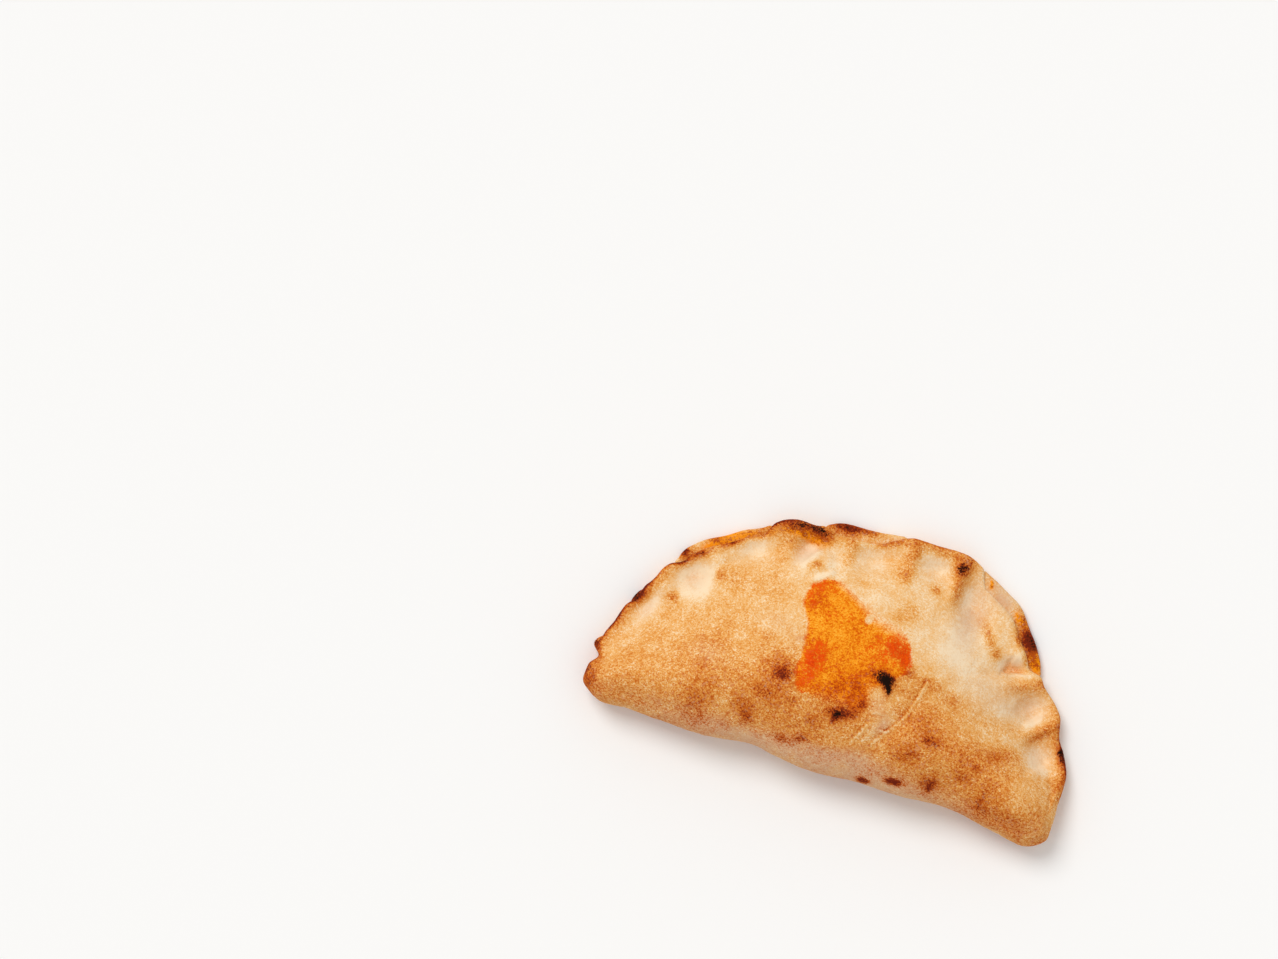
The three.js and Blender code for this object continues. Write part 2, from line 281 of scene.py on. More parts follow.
@dataclass(frozen=True)
class DoughForm:
    """The calzone's form: a disc of dough folded over its filling and pinched shut."""

    half_length: float = 106    # from the middle to a tip
    tip_y: float = -43          # y of the line through both tips
    rim_reach: float = 97       # from that line to the plain rim
    fold_reach: float = 12.8    # from that line to the plain folded edge
    fold_squareness: float = 4.5
    height: float = 42
    middle: tuple[float, float] = (-3, -13)     # where the rays of the top's grid start
    bearing_step: float = 30    # degrees of bearing for a unit walked along the square's rim sides
    fold_middle: FoldRound = FoldRound(height=16.5, depth=16.5, arc=45)
    fold_tip: FoldRound = FoldRound(height=10.5, depth=6.5, arc=68)
    fold_taper: float = 2.5     # above 1 the middle's section goes on for longer
    wave_fade: float = 0.1      # share of half the fold over which its waves fade at a tip
    layer: float = 4.4          # thickness of the upper layer at the rim
    lip_top: float = 9.6        # height of the rim
    lip_round: float = 2.2      # how far in from its edge a layer is rounded
    lip_shoulder: float = 0.7   # the rounding at a layer's corner
    lip_share: float = 0.09     # share of the way in over which the rim stays flat
    lip_fade: float = 2.2       # degrees either side of a lip's end over which it goes
    seam_depth: float = 1.7     # how far in the seam between the layers lies
    lower_tuck: float = 1.1     # how far back the lower layer stays where it has no lip
    lift: float = 0.9           # half the most that the rim's foot rises off the floor
    lift_waves: int = 11        # waves of that rise in a full turn
    rise_power: float = 2.5     # shape of the body's rise from the rim
    rim_softness: float = 1.28  # above 1 the body starts hollow, below 1 full
    tip_softness: float = 0.7
    tip_share: float = 0.8      # share of the way to a tip past which its own outline counts
    tip_blend: float = 35       # distance above the tips over which the rim's shape takes over
    lobe_fade: float = 4        # above 1 the rim's lobes shape the body only near the rim
    pinch_starts: float = -47   # y where the fold starts to go over into the rim
    pinch_complete: tuple[float, float] = (-25, -16)    # y where it has, on the left and the right
    fold_plain_from: float = 0.8    # share of the way out past which dents fade at the fold
    underside_power: float = 8  # how close to its foot the underside leaves the floor
    underside_flat: float = 0.35    # height by which it is pressed flat
    foot_level: int = 8         # level of the foot on the edge's profile, whose top is 0

    rim_lobes: tuple[Lobe, ...] = lobes(
        (12, 1.9, 5.0), (22, -1.3, 3.0), (27.5, 0.5, 2.0), (36.6, -2.9, 4.6), (47, 1.0, 4.0),
        (55.5, 4.9, 6.0), (63, 2.7, 5.0), (71.5, 5.9, 7.0), (83, 1.5, 6.0), (95, -2.0, 8.0),
        (107.5, -3.0, 4.0), (121.5, -2.5, 4.2), (129.5, -1.9, 5.0), (144.6, -1.9, 2.6),
        (152, -2.7, 4.5), (158.5, -1.7, 3.4), (166, -1.9, 5.0), (173.8, 1.4, 1.8),
        (176.8, -2.2, 1.6))
    fold_waves: tuple[Lobe, ...] = lobes(
        (-96, 2.4, 9), (-28, -3.5, 16), (0, -0.8, 12), (22, -2.6, 15), (57, -4.9, 21),
        (96, 2.6, 9))
    lower_lips: tuple[Lip, ...] = (
        Lip(40, 66, 5.6), Lip(89, 104.5, 5.4, 4.6), Lip(120, 144, 3.4), Lip(156, 160, 1.4),
        Lip(172, 176, 1.6))
    pressed: tuple[Oval, ...] = ovals(
        (92, -18, 8.5, 6.5, -35, -4.6), (81, 1, 9, 5.5, 28, -5.2), (68, 15.2, 5.5, 3.6, 8, -4.6),
        (43, 37, 14, 7, 100, -5.4), (24, 45, 7, 5.5, 0, -3.4), (-1, 41, 8.5, 7, 10, -3.2),
        (-33.5, 34.5, 6.5, 3.6, 62, -5.2), (-53, 27.5, 7.5, 6, 30, -3.4),
        (-76, 8.5, 7.5, 6, 55, -5.2), (-91, -11, 7, 3.8, 62, -3.8))
    puffed: tuple[Oval, ...] = ovals(
        (88, -6, 9, 3.4, 38, 2.6), (73, 9.5, 9, 3.6, 12, 2.6), (69, 21, 5, 3.6, -20, 1.8),
        (57, 24, 8, 5, -40, 2.2), (34, 44, 10, 3.6, 92, 2.8), (12, 46, 10, 4, 92, 2.2),
        (-14, 40, 9, 4, 96, 1.8), (-26, 30, 6, 4.5, 20, 1.8), (-36, 43, 11, 3.4, 3, 2.0),
        (-66, 15, 8, 4, 120, 1.8), (-84, -1, 6, 3.4, 150, 1.6))
    lumps: tuple[Oval, ...] = ovals(
        (92, -38, 15, 12, 0, 3.6), (52, -28, 24, 13, 5, 2.2), (14, -4, 15, 11, 20, 1.4),
        (27, -24, 14, 5, 62, -1.5), (-28, -24, 20, 12, -10, 1.6), (-66, -30, 18, 13, 0, 2.0),
        (-47, -2, 13, 10, 30, -1.2))

    def _outline_point(self, x: np.ndarray, y: np.ndarray, reach: float, power: float,
                       out: np.ndarray) -> tuple[np.ndarray, np.ndarray, np.ndarray]:
        """Points of a squared ellipse, moved out along its normal.

        Args:
            x: Distance of each point from the middle, along the fold.
            y: Its distance from the tip line.
            reach: The ellipse's reach from the tip line.
            power: Its squareness: 2 is a plain ellipse.
            out: How far each point moves out.

        Returns:
            The moved x and y, and the unit normals as rows.
        """
        slope_x = np.sign(x) * np.abs(x / self.half_length) ** (power - 1) / self.half_length
        slope_y = np.sign(y) * np.abs(y / reach) ** (power - 1) / reach
        normal = np.stack([slope_x, slope_y], axis=-1)
        normal /= np.linalg.norm(normal, axis=-1, keepdims=True)
        return x + normal[..., 0] * out, self.tip_y + y + normal[..., 1] * out, normal

    def _fold_reach(self, x: np.ndarray) -> np.ndarray:
        """Distance from the tip line to the plain folded edge at an x."""
        share = np.minimum(1, np.abs(x / self.half_length))
        power = self.fold_squareness
        return self.fold_reach * (1 - share ** power) ** (1 / power)

    def foldness_at(self, x: np.ndarray, y: np.ndarray) -> np.ndarray:
        """How far the edge near (x, y) is the round fold, 1, and not the pinched rim, 0."""
        rightness = smoothstep(x, -self.half_length / 2, self.half_length / 2)
        complete = lerp(*self.pinch_complete, rightness)
        return 1 - smoothstep(y, self.pinch_starts, complete)

    def edge_at(self, across: np.ndarray, up: np.ndarray) -> Edge:
        """The outline where border points of the unit square lie: its -Y side is the fold.

        Args:
            across: The points' X on the square.
            up: Their Y.

        Returns:
            The outline there.
        """
        on_fold = up < -ON_BORDER
        # how far the points lie along the three rim sides, each 2 long, from the fold's right end
        walked = np.where(up > ON_BORDER, 3 - across, up + 1)
        walked = np.where(across < -ON_BORDER, 5 - up, walked)
        ends = np.where(across > 0, 0.0, 180.0)
        bearing = np.where(on_fold, ends, self.bearing_step * walked)
        angle = np.radians(bearing)
        rim = self._outline_point(
            self.half_length * np.cos(angle), self.rim_reach * np.sin(angle), self.rim_reach, 2,
            bulge(self.rim_lobes, bearing))
        share = np.clip(across, -1, 1)
        fold_x = self.half_length * np.sin(share * math.pi / 2)
        steady = smoothstep(1 - np.abs(share), 0, self.wave_fade)
        fold = self._outline_point(
            fold_x, -self._fold_reach(fold_x), self.fold_reach, self.fold_squareness,
            bulge(self.fold_waves, fold_x) * steady)
        x, y = (np.where(on_fold, fold[i], rim[i]) for i in (0, 1))
        normal = np.where(on_fold[..., None], fold[2], rim[2])
        return Edge(x, y, normal, bearing, on_fold, self.foldness_at(x, y))

    def lower_reach(self, bearing: np.ndarray) -> np.ndarray:
        """How far the lower layer reaches past the upper one at a bearing."""
        reach = np.zeros(bearing.shape)
        for lip in self.lower_lips:
            starts = smoothstep(bearing, lip.start - lip.start_fade, lip.start + lip.start_fade)
            stops = smoothstep(bearing, lip.stop - self.lip_fade, lip.stop + self.lip_fade)
            reach = np.maximum(reach, lip.reach * starts * (1 - stops))
        return reach

    def _fold_round(self, x: np.ndarray) -> tuple[np.ndarray, np.ndarray, np.ndarray]:
        """Height, depth and arc (in radians) of the folded edge's round at an x."""
        tipness = np.minimum(1, np.abs(x / self.half_length)) ** self.fold_taper
        middle, tip = self.fold_middle, self.fold_tip
        arc = np.radians(lerp(middle.arc, tip.arc, tipness ** 2))
        return lerp(middle.height, tip.height, tipness), lerp(middle.depth, tip.depth, tipness), arc

    def band(self, edge: Edge, level: float) -> tuple[np.ndarray, np.ndarray]:
        """The edge band: a round at the fold, two rounded layers with a seam at the rim.

        Args:
            edge: The outline points.
            level: Place on the profile, from its top at 0 to its foot.

        Returns:
            The inset from the outline, and the height.
        """
        height, depth, arc = self._fold_round(edge.x)
        angle = arc * (1 - 2 * level / self.foot_level)
        fold_inset = depth * (1 - np.cos(angle))
        fold_z = height * (1 + np.sin(angle))
        upper = self.lower_reach(edge.bearing)
        lower = self.lower_tuck * (1 - np.minimum(1, upper / self.lower_tuck))
        lift = self.lift * (1 + np.sin(np.radians(edge.bearing * self.lift_waves)))
        top, seam = self.lip_top, self.lip_top - self.layer
        shoulder = self.lip_shoulder
        even = np.ones(edge.x.shape)
        insets = np.stack([
            upper + self.lip_round, upper + shoulder, upper, upper + shoulder,
            np.maximum(upper, lower) + self.seam_depth,
            lower + shoulder, lower, lower + shoulder, lower + self.lip_round])
        heights = np.stack([
            top * even, (top - shoulder) * even, (top - self.layer / 2) * even,
            (seam + shoulder) * even, seam * even,
            (seam - shoulder) * even, (seam + lift) / 2, lift + shoulder, lift])
        return (lerp(through_levels(insets, level), fold_inset, edge.foldness),
                lerp(through_levels(heights, level), fold_z, edge.foldness))

    def own_inset(self, edge: Edge, level: float) -> np.ndarray:
        """How far in the band lies, at a level, from the edge of the layer that it belongs to."""
        inset, _ = self.band(edge, level)
        return np.maximum(0, inset - self.lower_reach(edge.bearing)) * (1 - edge.foldness)

    def _ellipse_share(self, x: np.ndarray, y: np.ndarray) -> np.ndarray:
        """Place of (x, y) between the middle of the fold, 0, and the plain rim ellipse, 1."""
        return np.hypot(x / self.half_length, np.maximum(0, y - self.tip_y) / self.rim_reach)

    def _rise_from_rim(self, x: np.ndarray, y: np.ndarray, edge: Edge, start: np.ndarray,
                       reach: np.ndarray) -> np.ndarray:
        """How far the body has risen on its way in from the rim, 0 to 1.

        Args:
            x: Where, along the fold.
            y: Where, across it.
            edge: The outline points that the places lie towards.
            start: The tops of the edge band there, as rows.
            reach: Each place's share of the way out to that top.

        Returns:
            The share of the full height.
        """
        at_start = self._ellipse_share(start[:, 0], start[:, 1])
        towards_tip = smoothstep(at_start, self.tip_share, 1)
        at_start = np.where(edge.on_fold, lerp(1, at_start, towards_tip), at_start)
        tipness = 1 - smoothstep(y, self.tip_y, self.tip_y + self.tip_blend)
        own_share = lerp(1, at_start, reach ** self.lobe_fade)
        flat_from = lerp(1 - self.lip_share, 1, tipness)
        inner = np.minimum(1, self._ellipse_share(x, y) / own_share / flat_from)
        return (1 - inner ** self.rise_power) ** lerp(self.rim_softness, self.tip_softness, tipness)

    def _body_height(self, x: np.ndarray, y: np.ndarray, edge: Edge, start: np.ndarray,
                     reach: np.ndarray) -> np.ndarray:
        """Height of the top before its dents and puffs. The arguments are _rise_from_rim's."""
        from_rim = self._rise_from_rim(x, y, edge, start, reach)
        height, depth, arc = self._fold_round(x)
        round_top = height * (1 + np.sin(arc))
        round_inset = depth * (1 - np.cos(arc))
        fold_y = self.tip_y - self._fold_reach(x) - bulge(self.fold_waves, x) + round_inset
        run = np.maximum(0, y - fold_y) / np.maximum(TINY, from_rim)
        wider_height = (self.height - round_top) / (1 - np.sin(arc))
        wider_depth = wider_height * depth / height
        left = np.maximum(0, np.cos(arc) - run / wider_depth)
        from_fold = round_top + wider_height * (np.sqrt(1 - left ** 2) - np.sin(arc))
        edge_top = lerp(self.lip_top, round_top, self.foldness_at(x, y))
        return lerp(edge_top, from_fold, from_rim)

    def relief(self, x: np.ndarray, y: np.ndarray, edge: Edge, reach: np.ndarray) -> np.ndarray:
        """Height that dents, puffs and lumps add, fading out where the fold turns down."""
        keep = 1 - edge.foldness * smoothstep(reach, self.fold_plain_from, 1)
        return keep * total(self.pressed + self.puffed + self.lumps, x, y)

    def top(self, edge: Edge, reach: np.ndarray) -> np.ndarray:
        """Points of the top at shares of the way from the middle out to the edge band."""
        start = self.band_points(edge, 0)
        plan = lerp(np.array(self.middle), start[:, :2], reach[:, None])
        x, y = plan[:, 0], plan[:, 1]
        z = self._body_height(x, y, edge, start, reach) + self.relief(x, y, edge, reach)
        return np.column_stack([x, y, z])

    def band_points(self, edge: Edge, level: float) -> np.ndarray:
        """Points of the edge band at a level, before the dents that reach the rim."""
        inset, z = self.band(edge, level)
        return np.column_stack([
            edge.x - edge.normal[:, 0] * inset, edge.y - edge.normal[:, 1] * inset, z])

    def side(self, edge: Edge, level: float) -> np.ndarray:
        """Points of the edge band at a level. Its upper half follows the dents there."""
        points = self.band_points(edge, level)
        follow = math.sqrt(max(0.0, 1 - 2 * level / self.foot_level))
        full = np.ones(len(points))
        points[:, 2] += follow * self.relief(points[:, 0], points[:, 1], edge, full)
        return points

    def underside(self, edge: Edge, reach: float) -> np.ndarray:
        """Points of the underside at one share of the way out to the foot."""
        foot = self.band_points(edge, self.foot_level)
        plan = lerp(np.array(self.middle), foot[:, :2], reach)
        z = np.maximum(0, foot[:, 2] * reach ** self.underside_power - self.underside_flat)
        return np.column_stack([plan, z])


# ---- What baking did to the surface ----

class Mark(Enum):
    """What each field of marks on the crust says, by the name that the finish reads it under."""

    BROWNING = "browning"
    CHAR = "char"
    STAIN = "stain"
    SOAK = "soak"
    TOMATO = "tomato"
    OIL = "oil"
    # a greyish-pink blush: partly pale dough, partly painted shade in hollows, pits and on the fold's lower
    # side
    BLUSH = "blush"


@dataclass
class Spots:
    """Where the vertices are and what part of the dough they belong to."""

    x: np.ndarray
    y: np.ndarray
    z: np.ndarray
    from_rim: np.ndarray        # plan distance in from the upper layer's edge
    bearing: np.ndarray
    foldness: np.ndarray
    lower: np.ndarray           # 1 on the lower layer, 0 on the upper one
    under: np.ndarray           # 1 on the underside


@dataclass(frozen=True)
class OvenMarks:
    """Browning, char, stains and pale places, placed one by one."""

    pale_y: float = 25          # above this the open top is palest
    brown_y: float = -38        # below this it is brownest
    palest: float = 0.12
    brownest: float = 0.42
    fold_pale: float = 0.04     # how much paler the strip along the fold is
    side_browning: float = 0.24     # browning of the lower layer's edge
    under_browning: float = 0.62
    rim_depth: float = 1.0      # how far in the rim's thin toasted line goes
    rim_halo: float = 0.42      # the wider, weaker toast behind that line, as a share of it
    rim_halo_depth: float = 3.2
    crease_light_shade: float = 0.85   # painted light and shade on the stretched creases: how much paler a millimetre of ridge is painted, and how much darker a groove
    crease_light_shade_most: float = 0.45   # millimetres of ridge or groove past which that painted light and shade stays
    fold_side_top: Span = (12, 27)  # heights over which the fold's side ends
    blotch: float = 0.28        # unevenness of the browning on the fold's side
    blotch_size: float = 19
    foot_toast: float = 0.26    # extra browning where the fold meets the oven floor
    foot_toast_height: float = 5.5
    under_blotch: float = 0.22  # unevenness of the browning underneath
    seed: int = 19
    stain_reach: float = 4.0    # distance from the stain's outline that the field covers
    fold_blush_y: float = -45   # y of the strip's inner edge
    fold_blush_soft: float = 6  # distance either side of that edge over which it comes in
    fold_blush: float = 0.80    # how strong the blush there is: partly pale dough, partly painted shade on the fold's lower side
    fold_blush_rise: Span = (3, 17)     # heights over which it comes in above the foot
    fold_ends: Span = (40, 92)  # distances along the fold over which it gets weaker
    fold_end_share: float = 0.30        # what is left of it there
    crown_shift: tuple[float, float] = (1.1, -0.3)  # from a mark on the crown to its listed place
    crown_rise: Span = (10, 40)     # heights over which that shift comes in

    browned: tuple[Oval, ...] = ovals(
        # the left tip and rim
        (-103.5, -48, 3.4, 6, 10, 0.34), (-80.6, -3.1, 2.0, 2.0, 0, 0.46), (-64.7, 12.5, 1.9, 2.8, 0, 0.36),
        (-87, 5, 2.4, 7, -30, 0.08), (-75, 18.6, 6, 1.5, 36, 0.42), (-63, 28, 4, 1.8, 40, 0.40),
        (-78.6, 14.4, 4, 1.6, 48, 0.20), (-74.8, 8.2, 4.6, 5.8, -30, 0.21), (-50, 38, 7, 2.2, 40, 0.16),
        (-72, 17, 4, 3, 36, 0.12), (-44, 42, 5, 3, 20, 0.06), (-42, 36, 6, 5, 20, 0.20),
        (-26.6, 30.4, 1.9, 1.6, 0, 0.40), (-29.2, 28.4, 1.5, 1.3, 0, 0.26),
        (-33.8, 33.8, 2.2, 4.0, -20, 0.13), (-42, 27, 5, 6, 0, 0.10),
        # the filled body, left of the stain
        (-42, 18, 12, 5, 0, 0.10), (-58, 13, 9, 5, 0, 0.16), (-40, 11, 8, 4, 0, 0.08),
        (-36, -6, 2.2, 1.8, 0, 0.12), (-57, -15, 7, 5, 0, 0.07), (-27, -21, 8, 10, -10, 0.23),
        (-25, -18.5, 4.2, 3.2, 0, 0.28), (-30, -28.6, 6.0, 3.4, -12, 0.20), (-18, -28.6, 3, 2.4, 0, 0.16),
        (-56, -42, 7.6, 6.4, 0, 0.21), (-52, -33, 4, 2.8, 0, 0.16), (-58, -27, 5, 3, 0, 0.10),
        (-34, -40.6, 3.8, 4.4, 20, 0.28), (-38, -36, 5.4, 4, 0, 0.16), (-42, -48, 3, 1.8, 0, 0.18),
        (-16.4, -45.4, 3.6, 1.8, 0, 0.42), (-8.6, -42.8, 3.2, 2, 20, 0.36), (-6, -34.4, 4.4, 3.2, 0, 0.20),
        (-16, -36, 4, 3, 0, 0.06), (8, -25, 4, 3, 30, 0.32), (2, -31, 1.8, 2.4, 0, 0.26),
        (3, -26, 8, 5, 10, 0.20), (11.5, -20.5, 1.7, 2.6, 0, 0.34), (-88, -51, 14, 3, 0, 0.10),
        (-55, -49, 8, 3.4, 0, 0.14), (-30, -13, 6, 4, 0, 0.06),
        # in and about the stain
        (-21.5, 17.5, 3.6, 6.6, -8, 0.26), (0, -16, 14, 4.6, 0, 0.15), (8, -13.6, 4, 4.6, 0, 0.16),
        (10, -4.4, 5, 4, 0, 0.24), (-17.6, -2, 2.6, 4, 0, 0.14), (12, 8, 4.6, 2.8, 0, 0.16),
        (26.4, -1.2, 2.6, 2.4, 20, 0.46), (28.4, -8.6, 3.4, 2, 0, 0.20), (-14, 14.6, 3.4, 2, 0, 0.12),
        (26, -17, 2, 2, 0, 0.18),
        # the filled body, right of the stain
        (36, -18, 7, 4.4, 0, 0.15), (41, -21.6, 4.4, 4.6, 0, 0.16), (43.4, -26, 3, 2, 0, 0.28),
        (35.6, -27, 5, 4, 0, 0.12), (38, -34.8, 5.4, 4, 0, 0.24), (33, -37, 3, 2, 0, 0.10),
        (37.6, -2.8, 4.0, 2.4, -20, 0.28), (47, -5.8, 3.6, 2.4, -10, 0.24), (31.4, -3, 3.6, 3, 0, 0.12),
        (49.4, -43, 4.2, 3.6, 30, 0.40), (47, -25, 6, 5, 0, 0.13), (35, -47.3, 4.2, 1.6, 6, 0.60, 1.6),
        (22.3, -51.1, 3.2, 1.4, 4, 0.66, 1.6), (80, -47, 18, 4.4, 0, 0.15), (88, -51, 10, 3, -8, 0.10),
        (60, -31, 8, 7, 0, 0.06), (62.6, -36.3, 3.8, 2.8, 0, 0.24), (66.8, -30.4, 3.2, 1.6, -6, 0.34),
        (75, -22.5, 5.0, 2.6, 10, 0.22), (73.4, -43, 2.8, 5.4, 8, 0.24), (77.6, -39, 4, 6, 0, 0.07),
        (87, -46, 3.4, 2.6, 0, 0.10), (66, -26, 11, 4, 0, 0.12), (41, -14.5, 3, 3, 0, 0.12),
        (27, -45.4, 8, 2.6, 0, 0.08), (50.4, -45.8, 1.6, 1.2, 40, 0.20),
        # the right rim and the pinches
        (75, 9.4, 8, 3.0, 25, 0.22), (82, 12, 3.6, 2.2, -20, 0.28), (90.2, -6.2, 8.4, 2.5, 48, 0.30),
        # the oval at (69, 14.8) is painted shade in the groove above the right pinch's ridge
        (90, 5.4, 7.5, 2.2, -52, 0.10), (69, 14.8, 4.2, 1.7, 12, 0.20), (72.2, 20.6, 2, 3, 30, 0.24),
        (52.6, 26, 2.1, 3.8, 35, 0.32), (47.6, 30, 3, 2, 0, 0.10), (101.4, -13.0, 8, 2.6, -62, 0.36),
        (55.6, 22.2, 2.0, 2.2, 0, 0.20), (59.2, 18.6, 2.4, 2.4, 0, 0.36), (67.6, 29.0, 4.4, 3.0, -50, 0.52),
        (104.2, -23, 1.6, 7, -10, 0.20), (100, -21.6, 3.2, 5.4, -10, 0.12),
        # the top of the rim
        (34.6, 39.4, 2.4, 6.8, 4, 0.35), (34, 49, 4.6, 5.4, 0, 0.36), (12, 49, 3.4, 5, 0, 0.32),
        (11.2, 38, 2.8, 3.0, 0, 0.27), (12, 43, 2.8, 6, 0, 0.14), (3, 49.4, 8, 1.3, 24, 0.30),
        (30, 53.0, 9, 2.4, 0, 0.20), (18, 53.0, 9, 2.4, 0, 0.16), (25.6, 36.6, 2.6, 2.0, 0, 0.26),
        (19, 24, 5.4, 3, 0, 0.20), (15.6, 20, 4, 2.6, 0, 0.14), (-15, 44.4, 3, 3, 0, 0.20),
        (-14, 38, 2.8, 5.4, 0, 0.18), (7, 40, 5, 7, 0, 0.10), (-34.5, 43.4, 11.6, 3.4, 2, 0.44),
        (45, 34, 2, 2, 0, 0.07), (-4, 30, 5, 2.4, 0, 0.06), (-28.6, 41.4, 4.6, 2.8, 0, 0.24))
    # mostly less-baked dough; the pale places in the dents are partly painted light on their lit walls, and
    # the narrow ovals at (73.4, 13.4) and (84.2, -3.6) are painted light on lit ridges by the right pinches
    pale: tuple[Oval, ...] = ovals(
        (-89.4, -12.6, 9, 4.6, 66, -0.22, 1.6), (-74.2, 7.2, 10.6, 7.8, 62, -0.30, 1.8),
        (-68.4, 3.6, 4, 5, 20, -0.10), (-53, 28, 9, 5, 38, -0.12, 1.4),
        (-32, 32.6, 6.4, 4.2, 62, -0.21, 1.8), (-22.8, 26.2, 4.8, 1.7, 38, -0.17, 1.8),
        (22, 46, 7.6, 5.4, 0, -0.10, 1.4), (-4, 40, 9, 7, 0, -0.07), (39.4, 37, 3, 5.4, 0, -0.08),
        (69, 18.6, 3, 2.8, 0, -0.16), (63, 15.4, 2, 3.4, 0, -0.12),
        (73.4, 13.4, 5.8, 1.2, 16, -0.14, 1.5), (82.6, 3.4, 6.4, 3.6, 30, -0.14),
        (84.2, -3.6, 5.8, 2.3, 52, -0.22, 1.5), (73, -4, 9, 4.4, -5, -0.18),
        (92.0, -18.6, 9.6, 6.8, -28, -0.31, 1.6), (53, 4, 24, 12, -8, -0.09), (15.4, -14, 3, 3.4, 0, -0.16),
        (22, -22.6, 5, 10, -14, -0.15, 1.3), (66, -17, 12, 5, 0, -0.12), (79, -14.5, 5, 3, 0, -0.12),
        (100, -34, 5, 10, 0, -0.10), (-92, -24, 7, 5, 0, -0.08), (-30, 3, 8, 6, 0, -0.04),
        (10, -38, 8, 5, 0, -0.04), (-84, -29, 18, 13, 0, -0.12), (-99, -34, 5, 13, 0, -0.14),
        (-43, -14, 7, 8, 0, -0.08), (41, 17, 12, 10, 0, -0.07), (89, -30, 8, 8, 0, -0.16),
        (25, -51.4, 28, 2.2, 0, -0.10), (-26, -51, 12, 2, 0, -0.10), (-74, -13, 14, 6, 0, -0.08),
        (-45, -39, 4, 4.6, 0, -0.18), (52, -33, 4, 4, 0, -0.10), (88, -40, 5, 5, 0, -0.10),
        (104, -42, 2.4, 8, 0, -0.10), (18, -40, 10, 7, -20, -0.08), (-33, -49, 6, 2.4, 0, -0.08),
        (-88, -4, 3, 5, 0, -0.10))
    charred: tuple[Oval, ...] = ovals(
        (17.4, -7.0, 5.2, 3.8, -12, 1.20, 1.1), (20.0, -11.2, 1.8, 3.2, 24, 0.80),
        (13.4, -6.6, 3.4, 2.0, 0, 0.36), (2.8, -27.4, 3.6, 2.4, 6, 1.25), (8.2, -25, 3, 2.2, 30, 0.22),
        (2.2, -30.6, 1.3, 2, 0, 0.30), (-25, -18.4, 4.4, 3.2, -14, 0.56), (11.4, -20.6, 1.5, 2.6, 0, 0.35),
        (33.8, 49.2, 2.7, 3.4, -24, 1.05), (100.2, -13.2, 5.6, 2.4, -62, 1.05),
        (-36.6, 44.4, 7.0, 2.4, 8, 0.66), (-28.6, 44.4, 5.4, 2.2, -4, 0.62), (-33, 42.6, 10, 4, 0, 0.24),
        (-41.6, 42.4, 3, 1.6, 30, 0.4), (-95.4, -8.2, 5.0, 2.2, 58, 1.0), (-105.5, -33, 1.6, 2.2, 0, 0.8),
        (-105.4, -43, 1.2, 4.2, 0, 0.7), (50.4, -43.8, 3.4, 2.4, 40, 0.42),
        (35.2, -47.5, 4.0, 1.3, 6, 0.30), (22.3, -51.1, 3.0, 1.2, 4, 0.46), (68.6, 29.4, 2.6, 2.2, -50, 0.5),
        (-33.4, -41.2, 2.6, 1.9, 0, 0.22), (-74.4, 19.0, 2.2, 0.9, 36, 0.75),
        (43.4, -26, 2, 1.4, 0, 0.20), (66.8, -30.2, 2, 1, 0, 0.20))
    lower_browned: tuple[Oval, ...] = ovals(
        (-19, 49.4, 8, 2.6, 8, 0.60), (-8, 51.0, 6, 1.3, 4, 0.44), (-82, 16.6, 3.0, 3.0, 0, 0.60),
        (71, 28.6, 6.4, 4.6, -50, 0.70), (75.4, 22.0, 5, 3.4, -60, 0.38), (64.8, 36.4, 4.6, 2.4, -45, 0.24),
        (-71, 27.6, 7, 1.5, 40, 0.34), (-54, 35.6, 8, 2.4, 34, 0.30), (-96.6, -8, 6, 3, 58, 0.50),
        (-105, -38, 3, 9, 0, 0.40), (56, 42.4, 7, 4, -35, -0.10), (-75.6, 22.4, 3, 1.6, 40, -0.14),
        (-1, 51.8, 7, 1.3, 10, -0.14))
    lower_charred: tuple[Oval, ...] = ovals(
        (-19.4, 49.2, 6.4, 1.7, 6, 0.84), (71.2, 29.0, 4.4, 2.8, -50, 0.84),
        (74.0, 26.2, 1.8, 2.0, 0, 0.55), (-82.2, 16.8, 2.2, 2.3, 0, 0.75), (65.8, 36.9, 1.2, 0.8, -45, 0.7),
        (-96.6, -8.0, 4.6, 1.9, 58, 1.0), (-105.6, -33, 1.8, 2.4, 0, 0.9), (-105.4, -42.6, 1.4, 3.6, 0, 0.8))
    oiled: tuple[Oval, ...] = ovals(
        (47.8, 46.6, 3.2, 1.0, -70, 0.9), (64.6, 36.0, 4.6, 1.8, -38, 1.1), (76.6, 20.8, 6.0, 3.0, -62, 1.2),
        (-69, 25.8, 9.5, 2.6, 42, 1.3), (-58, 33.0, 6, 1.6, 34, 0.7))
    upper_oiled: tuple[Oval, ...] = ovals(
        (-32, 40.8, 8.6, 2.8, 0, 0.95), (-41, 40.4, 5, 2, 20, 0.5), (-50, 36.6, 7, 1.8, 38, 0.5))
    tomato: tuple[Oval, ...] = ovals(
        (18.6, 6.8, 7.2, 5.2, -28, 0.95), (23.2, 3.2, 3.6, 5.0, 20, 0.55), (12.4, 4.0, 7.0, 5.0, 20, 0.45),
        (9, -1, 8, 4, 0, 0.22), (-15.4, -12, 4.4, 10, 5, 0.92), (-16.8, -21, 3.4, 4.0, 0, 0.34),
        (-11.6, -6.6, 5.4, 7, 0, 0.40), (-23.6, 18.4, 3.6, 7.2, -12, 0.62), (-19.4, 23.6, 5, 3.2, -20, 0.34),
        (-10, 13, 9, 7, 0, 0.14))
